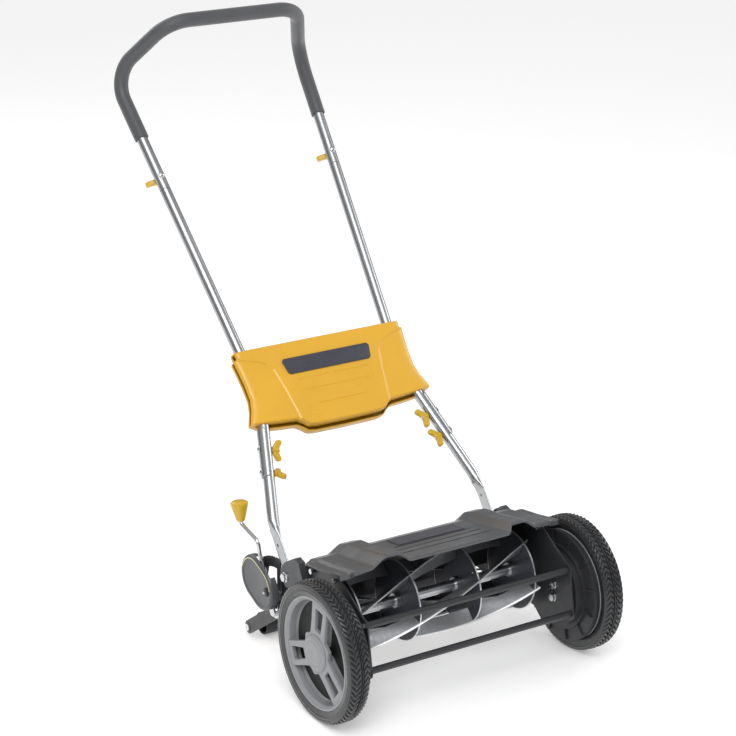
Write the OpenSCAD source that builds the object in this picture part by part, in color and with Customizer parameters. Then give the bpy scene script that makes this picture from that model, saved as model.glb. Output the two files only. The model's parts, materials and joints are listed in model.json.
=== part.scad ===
// Push reel mower: five-blade reel driven by both wheels through internal ring gears.
// Frame: +X to the side, front of the mower towards -Y, handle towards +Y, +Z up.
// "left" is the -X side. The origin is on the ground, below the middle of the overall box.

/* [Wheels] */
// Radius of the tyre at its tread
tyre_r = 130; // [128:1:132]
// Outer face of the tyre, from the middle of the mower
wheel_outer_x = 295.7; // [294:0.1:297]
// Width of the tyre
tyre_w = 39.7; // [39:0.1:41]
// Radius of the stub axle
axle_r = 8; // [6:0.5:9]

/* [Gears] */
// Gear module
gear_module = 2; // [2]
// Teeth of the internal ring gear
ring_teeth = 98; // [98]
// Teeth of the reel pinion
pinion_teeth = 16; // [16]
// Face width of the gears
gear_w = 14; // [10:1:14]
// Backlash measured along the pitch circle
gear_play = 0.3; // [0.2:0.05:0.4]

/* [Reel] */
// Number of reel blades
blades = 5; // [5]
// Radius of the cutting edge
reel_r = 79.5; // [78:0.1:79.6]
// Length of the reel blades
reel_len = 400; // [380:10:404]
// Twist of a blade along its whole length
reel_twist = 116; // [90:1:120]
// Depth of a blade strip
blade_w = 30; // [24:1:30]
// Thickness of a blade strip
blade_t = 2.6; // [2:0.1:3]
// Height of the reel axis above the wheel axle
reel_rise = 16; // [14:1:18]

/* [Rear roller] */
// Radius of the rear roller
roller_r = 22; // [20:1:24]
// Length of the rear roller
roller_len = 400; // [380:10:410]

/* [Handle] */
// Outer radius of the handle tubes
tube_r = 11; // [10.5:0.1:11.2]
// Wall of the handle tubes
tube_wall = 1.2; // [1:0.1:1.5]
// Outer radius of the foam grip
foam_r = 14.2; // [13.5:0.1:15]
// Half of the overall depth of the panel between the handle tubes
panel_half = 19; // [18:0.5:20]
// Wall of the panel shells
panel_wall = 2.4; // [2:0.1:3]

/* [Height lever] */
// Number of notches in the height sector
notches = 5; // [4:1:6]
// Angle between two notches
notch_step = 4; // [3:0.5:4]

/* [Hidden] */
$fn = 64;

// Fits: radial gap of a running shaft, gap between fixed neighbours
run_gap = 0.05;
fit_gap = 0.05;

// Wheel axle, in the mower's own frame
axle_y = -375.889;
axle_z = tyre_r;
// Everything below is given from the point on the ground under the wheel axle
module in_frame() { translate([0, axle_y, 0]) children(); }

// Reel axis, set by the gear pair
gear_centre = gear_module * (ring_teeth - pinion_teeth) / 2;
reel_y = sqrt(gear_centre * gear_centre - reel_rise * reel_rise);
reel_z = axle_z + reel_rise;
mesh_angle = atan2(reel_rise, reel_y);

// Planes across the mower, from the middle outwards
plate_in = 219;
plate_out = 222;
flange_out = 226;
cover_in = 244;
cover_out = 247;
gear_in = 250.5;
gear_out = gear_in + gear_w;
web_in = 268;
web_out = 271;
spoke_in = 282;
spoke_out = 291;
cap_out = 297.7;
tyre_in = wheel_outer_x - tyre_w;

// ---------- helpers ----------
// A 2-D shape in the Y-Z plane, given thickness from |x| = a to |x| = b on side s (-1 or 1)
module slab(s, a, b) {
    translate([s > 0 ? a : -b, 0, 0]) rotate([90, 0, 90]) linear_extrude(b - a) children();
}
// A round bar along X between |x| = a and |x| = b on side s
module bar_x(s, a, b, y, z, r) { slab(s, a, b) translate([y, z]) circle(r); }
// A hexagonal bar along X
module hex_x(s, a, b, y, z, r) { slab(s, a, b) translate([y, z]) circle(r, $fn = 6); }
// A 2-D strip from p to q, with round ends a hair wider than the strip
module strip(p, q, r) {
    d = q - p;
    half = r - 0.1;
    translate(p) circle(r);
    translate(q) circle(r);
    translate(p) rotate(atan2(d[1], d[0])) translate([0, -half]) square([norm(d), 2 * half]);
}
// A body of revolution about an axis along X through (y, z): profile points are [radius, |x|]
module turned(s, y, z, profile) {
    translate([0, y, z]) mirror([s > 0 ? 0 : 1, 0, 0]) rotate([90, 0, 90])
        rotate_extrude() polygon(profile);
}
// A straight round bar from p to q
module rod(p, q, r) {
    d = q - p;
    translate(p) rotate([0, acos(d[2] / norm(d)), atan2(d[1], d[0])]) cylinder(h = norm(d), r = r);
}
function unit(v) = v / norm(v);
// Half angle turned at corner v between the runs from u and to w
function half_turn(u, v, w) = acos(unit(v - u) * unit(w - v)) / 2;
// Length that a bend of radius R takes from each run at corner v
function bend_len(u, v, w, R) = R * tan(half_turn(u, v, w));
// One bend that joins two runs at corner v; it is a hair thicker than the runs, which end inside it
module bend(u, v, w, R, r) {
    a = unit(v - u);
    b = unit(w - v);
    turn = 2 * half_turn(u, v, w);
    inward = unit(b - a * (a * b));
    c = v - a * bend_len(u, v, w, R) + inward * R;
    n = cross(-inward, a);
    multmatrix([
        [-inward[0], a[0], n[0], c[0]],
        [-inward[1], a[1], n[1], c[1]],
        [-inward[2], a[2], n[2], c[2]]
    ]) rotate_extrude(angle = turn) translate([R, 0]) circle(r + bend_swell);
}
// A round bar along a route of corners p, with bend radius R[i] at corner i,
// longer by extra at both ends
bend_swell = 0.05;
bend_lap = 0.6;
module swept(p, R, r, extra = 0) {
    last = len(p) - 1;
    for (i = [0 : last - 1]) {
        d = unit(p[i + 1] - p[i]);
        from_corner = i == 0 ? -extra : bend_len(p[i - 1], p[i], p[i + 1], R[i]) - bend_lap;
        to_corner = i == last - 1 ? -extra : bend_len(p[i], p[i + 1], p[i + 2], R[i + 1]) - bend_lap;
        rod(p[i] + d * from_corner, p[i + 1] - d * to_corner, r);
    }
    for (i = [1 : last - 1]) bend(p[i - 1], p[i], p[i + 1], R[i], r);
}
// Places children in the sloping plane of the handle: X across, Y up the slope, Z to the front
module on_slope(origin) { translate(origin) rotate([slope, 0, 0]) children(); }

// ---------- gears ----------
function involute(a) = tan(a) - a * PI / 180;
// Half angle of a tooth at radius r, for z teeth with the given change of thickness
function tooth_half(z, r, extra) =
    let (pitch_r = gear_module * z / 2, base_r = pitch_r * cos(20))
    90 / z + extra * 90 / (PI * pitch_r)
    + (involute(20) - involute(r > base_r ? acos(base_r / r) : 0)) * 180 / PI;
// Outline of an involute gear with tooth 0 centred on angle 0
module gear_shape(z, root_r, tip_r, extra, steps) {
    radii = [for (i = [0 : steps]) root_r + (tip_r - root_r) * i / steps];
    polygon([
        for (t = [0 : z - 1]) for (i = [0 : 2 * steps + 1])
            let (
                r = i <= steps ? radii[i] : radii[2 * steps + 1 - i],
                side = i <= steps ? -1 : 1,
                a = t * 360 / z + side * tooth_half(z, r, extra)
            ) [r * cos(a), r * sin(a)]
    ]);
}

// ---------- frame ----------
rod_up = [-50, axle_z + 55];
rod_low = [-63, axle_z - 28];
arm_pivot = [242, 100];
arm_shaft_r = 8;
handle_pivot = [198, 187];
pivot_r = 5;
axle_bolt_y = -14;
axle_bolt_dz = 12.5;
bar_screw = [143, 80];
sector_screw = [238, 138];
plate_edge = [
    [-62, 182], [-52, 196], [20, 240], [40, 251], [110, 234], [150, 226],
    [196, 206], [212, 190], [258, 118], [254, 90], [232, 84], [158, 66],
    [118, 62], [60, 78], [20, 72], [-30, 76], [-64, 90], [-75, 102]
];
hook_hole = [214, 150];
hook_r = 4.25;
module plate_hole(s, p, r) { bar_x(s, plate_in - 1, plate_out + 1, p[0], p[1], r); }
module side_plate(s) {
    color("#26272a") in_frame() difference() {
        union() {
            slab(s, plate_in, plate_out) polygon(plate_edge);
            for (p = [rod_up, rod_low]) bar_x(s, plate_in, plate_out, p[0], p[1], 13);
            bar_x(s, plate_in, plate_out, handle_pivot[0], handle_pivot[1], 16);
            bar_x(s, plate_in, plate_out, arm_pivot[0], arm_pivot[1], 17);
        }
        plate_hole(s, [reel_y, reel_z], 20);
        plate_hole(s, [0, axle_z], axle_r);
        for (k = [-1, 1]) plate_hole(s, [axle_bolt_y, axle_z + k * axle_bolt_dz], 4.05);
        for (p = concat([rod_up, rod_low, bar_screw, sector_screw], deck_screws)) plate_hole(s, p, 3.05);
        plate_hole(s, arm_pivot, arm_shaft_r);
        plate_hole(s, handle_pivot, pivot_r + fit_gap);
        plate_hole(s, hook_hole, hook_r);
    }
}
module side_plate_left() { side_plate(-1); }
module side_plate_right() { side_plate(1); }

boss_r = 74;
module wheel_cover(s) {
    color("#232427") in_frame() difference() {
        union() {
            turned(s, 0, axle_z, [
                [30, 226.3], [boss_r, 226.3], [boss_r, cover_in - 6], [boss_r + 8, cover_in - 6],
                [boss_r + 8, cover_in], [107, cover_in], [107, 252.5], [104.5, 252.5],
                [104.5, cover_out], [boss_r + 5, cover_out], [boss_r + 5, cover_in - 3.5],
                [boss_r - 2.5, cover_in - 3.5], [boss_r - 2.5, 228.8], [30, 228.8]
            ]);
            intersection() {
                for (k = [0 : 11]) slab(s, cover_in - 4, cover_in + 1) translate([0, axle_z])
                    rotate(k * 30 + 15) translate([boss_r + 4, -1.2]) square([26, 2.4]);
                bar_x(s, cover_in - 6, cover_out, 0, axle_z, 104);
            }
            intersection() {
                slab(s, 226.3, cover_out) translate([0, axle_z]) difference() {
                    circle(34);
                    circle(30.5);
                }
                bar_x(s, 226.3, 240, 0, axle_z, 60);
            }
        }
        bar_x(s, 220, 260, reel_y, reel_z, 14);
    }
}
module wheel_cover_left() { wheel_cover(-1); }
module wheel_cover_right() { wheel_cover(1); }

module stub_axle(s) {
    color("#9a9c9f") in_frame() difference() {
        union() {
            bar_x(s, plate_out + 0.05, flange_out, 0, axle_z, 25);
            bar_x(s, plate_in + 0.5, 293.2, 0, axle_z, axle_r - run_gap);
        }
        for (k = [-1, 1]) bar_x(s, 221, 228, axle_bolt_y, axle_z + k * axle_bolt_dz, 4.05);
        turned(s, 0, axle_z, [[6.8, 291.2], [9, 291.2], [9, 292.4], [6.8, 292.4]]);
    }
}
module axle_left() { stub_axle(-1); }
module axle_right() { stub_axle(1); }

module axle_bolts() {
    color("#c4c6c8") in_frame() for (s = [-1, 1]) for (k = [-1, 1]) {
        y = axle_bolt_y;
        z = axle_z + k * axle_bolt_dz;
        hex_x(s, 212.5, 217.7, y, z, 7.5);
        bar_x(s, 217.6, 218.95, y, z, 8.2);
        bar_x(s, 217, 233, y, z, 4);
        hex_x(s, 226.05, 231.5, y, z, 7.2);
    }
}
module axle_clips() {
    color("#5b5d60") in_frame() for (s = [-1, 1])
        slab(s, 291.3, 292.3) translate([0, axle_z]) difference() {
            circle(12);
            circle(6.9);
            translate([-3, -14]) square([6, 10]);
        }
}
module reel_bearings() {
    color("#8f9194") in_frame() for (s = [-1, 1])
        turned(s, reel_y, reel_z, [
            [8 + run_gap, 207], [14, 207], [14, 213], [27, 215.5], [27, 218.95],
            [19.95, 218.95], [19.95, 224.5], [8 + run_gap, 224.5]
        ]);
}

module tie_rod(p) {
    color("#4c4d50") in_frame() difference() {
        bar_x(1, -plate_in + 0.05, plate_in - 0.05, p[0], p[1], 6.4);
        for (s = [-1, 1]) bar_x(s, 196, 220, p[0], p[1], 2.95 + fit_gap);
    }
}
module tie_rod_upper() { tie_rod(rod_up); }
module tie_rod_lower() { tie_rod(rod_low); }

module frame_screws() {
    color("#a9abad") in_frame() for (s = [-1, 1]) {
        for (p = [rod_up, rod_low]) {
            hex_x(s, 222.05, 225.6, p[0], p[1], 5.4);
            bar_x(s, 200, 223, p[0], p[1], 2.95);
        }
        hex_x(s, 222.05, 226, bar_screw[0], bar_screw[1], 5.4);
        bar_x(s, 204, 223, bar_screw[0], bar_screw[1], 2.95);
        for (p = deck_screws) {
            hex_x(s, 226.05, 229.5, p[0], p[1], 5.4);
            bar_x(s, 213, 227, p[0], p[1], 2.95);
        }
    }
    color("#a9abad") in_frame() {
        hex_x(-1, sector_out + 0.05, 229.1, sector_screw[0], sector_screw[1], 5.4);
        bar_x(-1, 213, 227, sector_screw[0], sector_screw[1], 2.95);
    }
}

// ---------- cutting unit ----------
module bedknife() {
    color("#d5d7d9") in_frame() translate([0, reel_y, reel_z]) difference() {
        slab(1, -206, 206) polygon([[31.6, -73.8], [34.2, -72.6], [66, -79.6], [66, -82.6]]);
        knife_holes();
    }
}
knife_screws = [-160, -80, 0, 80, 160];
knife_screw_y = 54;
module knife_holes() {
    for (x = knife_screws) translate([x, knife_screw_y, -86]) cylinder(h = 20, r = 2.55);
}
module bedknife_bar() {
    color("#2d2e31") in_frame() difference() {
        translate([0, reel_y, reel_z]) slab(1, -plate_in + 0.05, plate_in - 0.05) polygon([
            [41, -74.05], [66, -79.55], [70, -79], [72, -52], [68, -50], [57, -58.8]
        ]);
        for (s = [-1, 1]) bar_x(s, 203, 220, bar_screw[0], bar_screw[1], 3);
        translate([0, reel_y, reel_z]) knife_holes();
    }
}
module bedknife_screws() {
    color("#b7b9bb") in_frame() for (x = knife_screws)
        translate([x, reel_y + knife_screw_y, reel_z - 84]) {
            cylinder(h = 3.2, r = 4.4);
            cylinder(h = 17, r = 2.5);
        }
}

shaft_r = 9.5;
journal_r = 8;
disc_x = [-189.5, -66.4, 66.4, 189.5];
disc_t = 2.6;
disc_r = 77;
// Angle of blade k where it crosses plane x; zero is to the rear, turning up
function blade_angle(k, x) = 157.5 - (x + 190) * reel_twist / reel_len + k * 360 / blades;
module blade_section() {
    translate([reel_r - blade_w, -blade_t / 2]) square([blade_w, blade_t]);
}
module reel_shaft() {
    color("#c9cbcd") in_frame() difference() {
        union() {
            bar_x(1, -204, 204, reel_y, reel_z, shaft_r);
            bar_x(1, -266, 266, reel_y, reel_z, journal_r);
            for (x = disc_x) for (d = [-1, 1]) translate([x + d * 5.5, reel_y, reel_z])
                rotate([0, 90, 0]) cylinder(h = 8, r = 14, center = true);
        }
        for (s = [-1, 1]) {
            turned(s, reel_y, reel_z, [[7, 264.8], [9, 264.8], [9, 265.6], [7, 265.6]]);
            slab(s, 254, 259) translate([reel_y, reel_z]) rotate(20) square([30, 5.1], center = true);
        }
    }
}
module reel_discs() {
    color("#38393d") in_frame() translate([0, reel_y, reel_z]) for (x = disc_x)
        slab(1, x - disc_t / 2, x + disc_t / 2) difference() {
            circle(disc_r, $fn = 96);
            circle(shaft_r + fit_gap);
            for (k = [0 : blades - 1]) rotate(blade_angle(k, x))
                translate([reel_r - blade_w - 0.3, -2.2]) square([blade_w, 4.4]);
            for (k = [0 : 2]) rotate(k * 120 + 20) translate([62, 0]) circle(2.5);
        }
}
module reel_blades() {
    color("#aeb1b4") in_frame() translate([0, reel_y, reel_z]) for (k = [0 : blades - 1])
        translate([-reel_len / 2, 0, 0]) rotate([90, 0, 90]) rotate(blade_angle(k, -reel_len / 2))
            linear_extrude(reel_len, twist = reel_twist, slices = 36, segments = 4) blade_section();
}
// Loose pawl keys that slide in the cross slots of the shaft inside each pinion
module drive_pawls() {
    color("#77797c") in_frame() for (s = [-1, 1])
        slab(s, 254.2, 258.8) translate([reel_y, reel_z]) rotate(20) square([14.4, 4.9], center = true);
}
module pinion(s) {
    color("#6d6f73") in_frame() difference() {
        slab(s, gear_in + 0.2, gear_out - 0.2) translate([reel_y, reel_z]) rotate(mesh_angle)
            gear_shape(pinion_teeth, 13.6, 17.8, -gear_play, 4);
        bar_x(s, gear_in - 1, gear_out + 1, reel_y, reel_z, journal_r + run_gap);
        slab(s, 253.5, 259.5) translate([reel_y, reel_z]) circle(9.6);
    }
}
module pinion_left() { pinion(-1); }
module pinion_right() { pinion(1); }

// ---------- deck ----------
deck_t = 3;
// Top line of the deck, raised by lift and starting at y = front
function deck_top(front, lift) = [
    [front, 273 - 0.2 * front + lift], [68, 259.4 + lift], [116, 252.5 + lift],
    [146, 240 + lift], [172, 216 + lift], [182, 196 + lift]
];
function deck_low(front, lift) = [
    [179, 194.5 + lift], [169.4, 214.4 + lift], [144.5, 237.4 + lift],
    [115.2, 249.6 + lift], [67.5, 256.4 + lift], [front + 3, 269.4 - 0.2 * front + lift],
    [front + 3, 261 - 0.2 * front + lift], [front, 261 - 0.2 * front + lift]
];
module deck_band(a, b, front, lift) {
    for (s = [-1, 1]) slab(s, a, b) polygon(concat(deck_top(front, lift), deck_low(front, lift)));
}
// A step wall between two bands of different height
module deck_step(a, b, front, low, high) {
    for (s = [-1, 1]) slab(s, a, b)
        polygon(concat(deck_top(front, high), deck_low(front, low)));
}
deck_bands = [
    // inner x, outer x, front y, lift
    [0, 118, -30, 0], [121, 163, -28, 5.5], [166, 214, -2, -1], [217, 218.9, 2, -7.5]
];
wing_front = 2;
wing_back = 124;
wing_lift = -7.5;
deck_screws = [[40, 238], [120, 226]];
module deck_cover() {
    color("#808285") in_frame() {
        for (b = deck_bands) deck_band(b[0], b[1], b[2], b[3]);
        for (i = [0 : len(deck_bands) - 2]) {
            p = deck_bands[i];
            q = deck_bands[i + 1];
            deck_step(p[1], q[0], max(p[2], q[2]), min(p[3], q[3]), max(p[3], q[3]));
        }
        for (s = [-1, 1]) {
            slab(s, 218, 238) intersection() {
                polygon(concat(deck_top(wing_front, wing_lift), deck_low(wing_front, wing_lift)));
                square([wing_back, 300]);
            }
            for (p = deck_screws) slab(s, 222.05, 226) difference() {
                intersection() {
                    translate([p[0] - 7, p[1] - 7]) square([14, 40]);
                    polygon(concat(deck_top(wing_front, wing_lift - 1), [[182, 0], [wing_front, 0]]));
                }
                translate(p) circle(3.05);
            }
        }
    }
}
module deck_badge() {
    color("#3b3b40") in_frame() slab(1, -72, 72) polygon([
        [69, 259.6], [110, 253.7], [110, 254.9], [69, 260.8]
    ]);
}
baffle_r = 96;
module rear_baffle() {
    color("#1c1d1f") in_frame() translate([0, reel_y, reel_z]) {
        slab(1, -218.9, 218.9) intersection() {
            difference() {
                circle(baffle_r + 2.5);
                circle(baffle_r);
            }
            polygon([[0, 0], [200, -54], [200, 200], [56, 96]]);
        }
        for (x = [-130, 0, 130]) slab(1, x - 1.5, x + 1.5) intersection() {
            difference() {
                circle(baffle_r + 10);
                circle(baffle_r + 2.4);
            }
            polygon([[0, 0], [200, -50], [200, 160]]);
        }
    }
}

// ---------- handle mounts ----------
bracket_in = 233;
bracket_out = 236;
module handle_bracket(s) {
    color("#6b6d70") in_frame() difference() {
        union() {
            slab(s, bracket_in, bracket_out) polygon([
                [134, 200], [150, 232], [166, 236], [200, 216], [216, 196], [212, 176],
                [196, 168], [160, 172]
            ]);
            slab(s, plate_out + 0.1, bracket_in + 0.2) polygon([
                [134, 200], [150, 232], [166, 236], [169, 233.5], [153, 229], [138, 200],
                [162, 175], [160, 172]
            ]);
        }
        bar_x(s, 220, 240, handle_pivot[0], handle_pivot[1], pivot_r + fit_gap);
    }
}
module handle_bracket_left() { handle_bracket(-1); }
module handle_bracket_right() { handle_bracket(1); }
module pivot_bolts() {
    color("#c4c6c8") in_frame() for (s = [-1, 1]) {
        p = handle_pivot;
        hex_x(s, 214, 218.9, p[0], p[1], 8);
        bar_x(s, 218, 238, p[0], p[1], pivot_r - run_gap);
        bar_x(s, 236.05, 237.5, p[0], p[1], 9.5);
        hex_x(s, 237.4, 242.5, p[0], p[1], 8);
    }
}

// ---------- height adjustment and rear roller ----------
lever_r = 108;
rest_angle = 67;
sector_from = 53;
sector_to = 95;
sector_out = 226.5;
// Posts that carry the lever cover
cover_posts = [[295, 175], [300, 131]];
module wedge(from, to) {
    translate(arm_pivot) polygon([
        [0, 0], [300 * cos(from), 300 * sin(from)], [300 * cos(to), 300 * sin(to)]
    ]);
}
module height_sector() {
    color("#1f2022") in_frame() difference() {
        union() {
            slab(-1, 223, sector_out) intersection() {
                translate(arm_pivot) difference() {
                    circle(lever_r - 4);
                    circle(lever_r - 24);
                }
                wedge(sector_from, sector_to);
            }
            slab(-1, 223, sector_out) translate([229, 129]) square([16, 60]);
            slab(-1, 223, sector_out) polygon([[276, 186], [294, 190], [311, 128], [293, 123]]);
            for (p = cover_posts) bar_x(-1, 223, 234, p[0], p[1], 4.5);
        }
        for (i = [0 : notches - 1])
            slab(-1, 222, 228) translate(arm_pivot) rotate(rest_angle + i * notch_step)
                translate([lever_r - 5, 0]) circle(2.7);
        bar_x(-1, 222, 228, sector_screw[0], sector_screw[1], 3.05);
    }
}
cover_in_x = 234;
cover_out_x = 250;
cover_back = [271, 140];
cover_front = [297, 151];
module lever_cover() {
    color("#77797b") in_frame() difference() {
        union() {
            difference() {
                slab(-1, cover_in_x, cover_out_x) strip(cover_back, cover_front, 44);
                slab(-1, cover_in_x - 1, cover_out_x - 2.5) strip(cover_back, cover_front, 41.6);
            }
            for (p = cover_posts) bar_x(-1, cover_in_x + 0.1, cover_out_x - 1, p[0], p[1], 5.5);
        }
        slab(-1, cover_in_x - 1, 244.5) wedge(59.5, 92);
        bar_x(-1, cover_in_x - 1, 244.5, arm_pivot[0], arm_pivot[1], 18);
    }
}
lever_route = [
    [-234, 246, 112], [-239.5, 286, 204], [-241, 288.6, 225], [-249, 337.5, 246], [-249, 340, 263]
];
module height_lever() {
    color("#c9cbcd") in_frame() {
        swept(lever_route, [0, 30, 12, 7, 0], 4);
        slab(-1, 229.5, 233.5) difference() {
            strip(arm_pivot, [254.5, 129], 14);
            translate(arm_pivot) circle(arm_shaft_r);
        }
    }
}
module lever_knob() {
    color("#e3c12f") in_frame() translate(lever_route[4]) rotate([-8, 0, 0]) translate([0, 0, -12])
        rotate_extrude() polygon([
            [4.05, 0], [7, 0], [8.6, 3], [15.6, 28], [17, 33], [16.4, 36], [12, 39], [0, 40],
            [0, 13], [4.05, 13]
        ]);
}
roller_at = [352, roller_r];
roller_bore = 5;
module roller_arm(s) {
    color("#3a3b3e") in_frame() slab(s, 224.4, 229.2) difference() {
        union() {
            strip(arm_pivot, roller_at, 13);
            translate(arm_pivot) circle(18);
        }
        translate(arm_pivot) circle(arm_shaft_r);
        translate(roller_at) circle(roller_bore);
    }
}
module roller_arm_left() { roller_arm(-1); }
module roller_arm_right() { roller_arm(1); }
module carriage_shaft() {
    color("#a4a6a8") in_frame() {
        bar_x(1, -235.2, 229.4, arm_pivot[0], arm_pivot[1], arm_shaft_r - run_gap);
        hex_x(-1, 235.05, 240, arm_pivot[0], arm_pivot[1], 9.5);
        hex_x(1, 229.25, 234.2, arm_pivot[0], arm_pivot[1], 9.5);
    }
}
module roller_axle() {
    color("#a4a6a8") in_frame() {
        bar_x(1, -229.2, 229.2, roller_at[0], roller_at[1], roller_bore - run_gap);
        for (s = [-1, 1]) hex_x(s, 229.25, 233, roller_at[0], roller_at[1], 7.5);
    }
}
module rear_roller() {
    color("#202124") in_frame() translate([0, roller_at[0], roller_at[1]]) {
        slab(1, -roller_len / 2, roller_len / 2) difference() {
            circle(roller_r);
            circle(roller_r - 3);
        }
        for (s = [-1, 1]) slab(s, roller_len / 2 - 24, roller_len / 2 - 14) difference() {
            circle(roller_r - 2.9);
            circle(roller_bore);
        }
    }
}

// ---------- wheels ----------
rim_r = 106;
module tyre(s) {
    color("#333436") in_frame() turned(s, 0, axle_z, [
        [rim_r, tyre_in + 2], [112, tyre_in + 0.6], [120, tyre_in], [126, tyre_in + 1.6],
        [129, tyre_in + 5], [tyre_r, tyre_in + 12], [tyre_r, wheel_outer_x - 12],
        [129, wheel_outer_x - 5], [126.5, wheel_outer_x - 2], [121, wheel_outer_x],
        [112, wheel_outer_x - 0.2], [104.3, wheel_outer_x - 1.7], [104.3, 291.6], [rim_r, 291.6]
    ]);
}
module tyre_left() { tyre(-1); }
module tyre_right() { tyre(1); }

spoke_angles = [98, 218, 338];
module rim(s) {
    color("#8e9092") in_frame() {
        turned(s, 0, axle_z, [
            [axle_r, 266.4], [17, 266.4], [20, web_in], [102.6, web_in],
            [102.6, 257.6], [105.95, 257.6], [105.95, 291.5], [104.2, 291.5], [104.2, 294],
            [99, 294], [96.5, 289], [99.5, web_out + 6], [94, web_out], [20, web_out],
            [18, spoke_in], [18, 288], [14.9, 288], [14.9, 291], [axle_r, 291]
        ]);
        slab(s, spoke_in, spoke_out) translate([0, axle_z]) difference() {
            union() {
                for (a = spoke_angles) rotate(a) translate([0, -23]) square([98.5, 46]);
                rotate(spoke_angles[0]) circle(44, $fn = 6);
                circle(36);
            }
            circle(17.9);
            for (a = spoke_angles) rotate(a) translate([42, -10.5]) square([46, 21]);
        }
    }
}
module rim_left() { rim(-1); }
module rim_right() { rim(1); }
module hub_cap(s) {
    color("#8a8c8e") in_frame() turned(s, 0, axle_z, [
        [0, 293.6], [15, 293.6], [15, 288.2], [17.8, 288.2], [17.8, 291.1], [34, 291.1],
        [35, 293], [33, 296], [26, cap_out], [0, cap_out]
    ]);
}
module hub_cap_left() { hub_cap(-1); }
module hub_cap_right() { hub_cap(1); }
module ring_gear(s) {
    color("#4a4b4e") in_frame() slab(s, gear_in, gear_out) translate([0, axle_z]) difference() {
        circle(102.55, $fn = 128);
        rotate(mesh_angle) gear_shape(ring_teeth, 96, 100.5, 0, 2);
    }
}
module ring_gear_left() { ring_gear(-1); }
module ring_gear_right() { ring_gear(1); }

// ---------- handle ----------
slope = 49;
bend_low = [158, 417, 451.3];
// Mouth of the middle tube on the straight run down the slope from the low bend
seam_low = bend_low + [42.1, -153.7 * cos(slope), -153.7 * sin(slope)];
grip_corner = [211, 890, 991];
// Seam and grip end on the straight run from the low bend to the grip corner
seam_up = bend_low + (grip_corner - bend_low) * 0.6366;
grip_end = bend_low + (grip_corner - bend_low) * 0.796;
bar_corner = [143.3, 778, 1106.8];
spigot = 62;
function other(p) = [-p[0], p[1], p[2]];
function sided(s, p) = [s * p[0], p[1], p[2]];
inner_r = tube_r - tube_wall;
spigot_r = inner_r - fit_gap;
up_dir = unit(seam_up - bend_low);
low_dir = unit(bend_low - seam_low);
flat_top = seam_low - low_dir * 87;
// Clamp bolts, square to the tubes: upper ones run front to rear, lower ones run across
bolt_up = seam_up + up_dir * 28;
bolt_mid = seam_low + low_dir * 55;
bolt_low = seam_low + low_dir * 9;
bolt_tilt = -asin(low_dir[0]);
// Places children on a cross bolt: Z along the bolt and outwards
module on_cross_bolt(s, p) {
    on_slope(sided(s, p)) rotate([0, 0, s * bolt_tilt]) rotate([0, s * 90, 0]) children();
}
module across(s, p, a, b, r) { on_cross_bolt(s, p) translate([0, 0, a]) cylinder(h = b - a, r = r); }
module front_rear(s, p, a, b, r) {
    on_slope(sided(s, p)) translate([0, 0, a]) cylinder(h = b - a, r = r);
}
// The middle tube ends in a trough pressed over the outer side of the lower tube; it narrows
// inside the panel and meets the round tube at a collar. Lengths are up the run from seam_low.
trough_r = 14;
trough_half = 72;
trough_len = 98;
neck_r = 13.2;
neck_in = 11.3;
neck_half = 50;
neck_top = 121;
collar_from = 116.5;
collar_to = 122;
collar_r = 11.6;
lower_len = 115.5;
function up_low(s, len) = sided(s, seam_low + low_dir * len);
module arc_section(in_r, out_r, half) {
    far = 3 * out_r;
    difference() {
        intersection() {
            circle(out_r);
            polygon([
                [0, 0], [far * cos(half), far * sin(half)], [far, far * sin(half)],
                [far, -far * sin(half)], [far * cos(half), -far * sin(half)]
            ]);
        }
        circle(in_r);
    }
}
// A length of arc section along the low run, open towards the middle of the mower
module trough(s, from, to, in_r, out_r, half) {
    on_slope(up_low(s, to)) rotate([0, 0, s * bolt_tilt]) mirror([s > 0 ? 0 : 1, 0, 0])
        rotate([90, 0, 0]) linear_extrude(to - from) arc_section(in_r, out_r, half);
}
// Domed head of a clamp bolt, flat side at 0
module dome() {
    intersection() {
        cylinder(h = 3.4, r = 6.5);
        translate([0, 0, -5.1]) sphere(8.5);
    }
}
module upper_tube() {
    route = [
        other(seam_up), other(grip_corner), other(bar_corner), bar_corner, grip_corner, seam_up
    ];
    radii = [0, 62, 66, 66, 62, 0];
    color("#b9bbbd") in_frame() difference() {
        swept(route, radii, tube_r);
        swept(route, radii, inner_r, 1);
        for (s = [-1, 1]) front_rear(s, bolt_up, -20, 20, 3.05);
    }
}
grip_gap = 0.4;
module foam_grip() {
    route = [
        other(grip_end), other(grip_corner), other(bar_corner), bar_corner, grip_corner, grip_end
    ];
    radii = [0, 62, 66, 66, 62, 0];
    color("#3c3d3f") in_frame() difference() {
        swept(route, radii, foam_r);
        swept(route, radii, tube_r + grip_gap, 1);
    }
}
module middle_tube(s) {
    route = [up_low(s, collar_from + 0.5), sided(s, bend_low), sided(s, seam_up)];
    tip = sided(s, seam_up + up_dir * spigot);
    color("#b4b6b8") in_frame() difference() {
        union() {
            swept(route, [0, 90, 0], tube_r);
            rod(sided(s, seam_up - up_dir * 1), tip, spigot_r);
            rod(up_low(s, collar_from), up_low(s, collar_to), collar_r);
            trough(s, 0, trough_len, tube_r + fit_gap, trough_r, trough_half);
            trough(s, trough_len - 1, neck_top, neck_in, neck_r, neck_half);
            trough(s, collar_from + 0.2, neck_top - 1, tube_r - 0.5, neck_r - 0.4, neck_half - 2);
        }
        swept([route[0], route[1], tip], [0, 90, 0], spigot_r - tube_wall, 1);
        front_rear(s, bolt_up, -20, 20, 3.05);
        across(s, bolt_mid, -20, 20, 3.05);
        across(s, bolt_low, -20, 20, 3.05);
    }
}
module middle_tube_left() { middle_tube(-1); }
module middle_tube_right() { middle_tube(1); }
flat_x = 227.6;
flat_t = 4.6;
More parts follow.
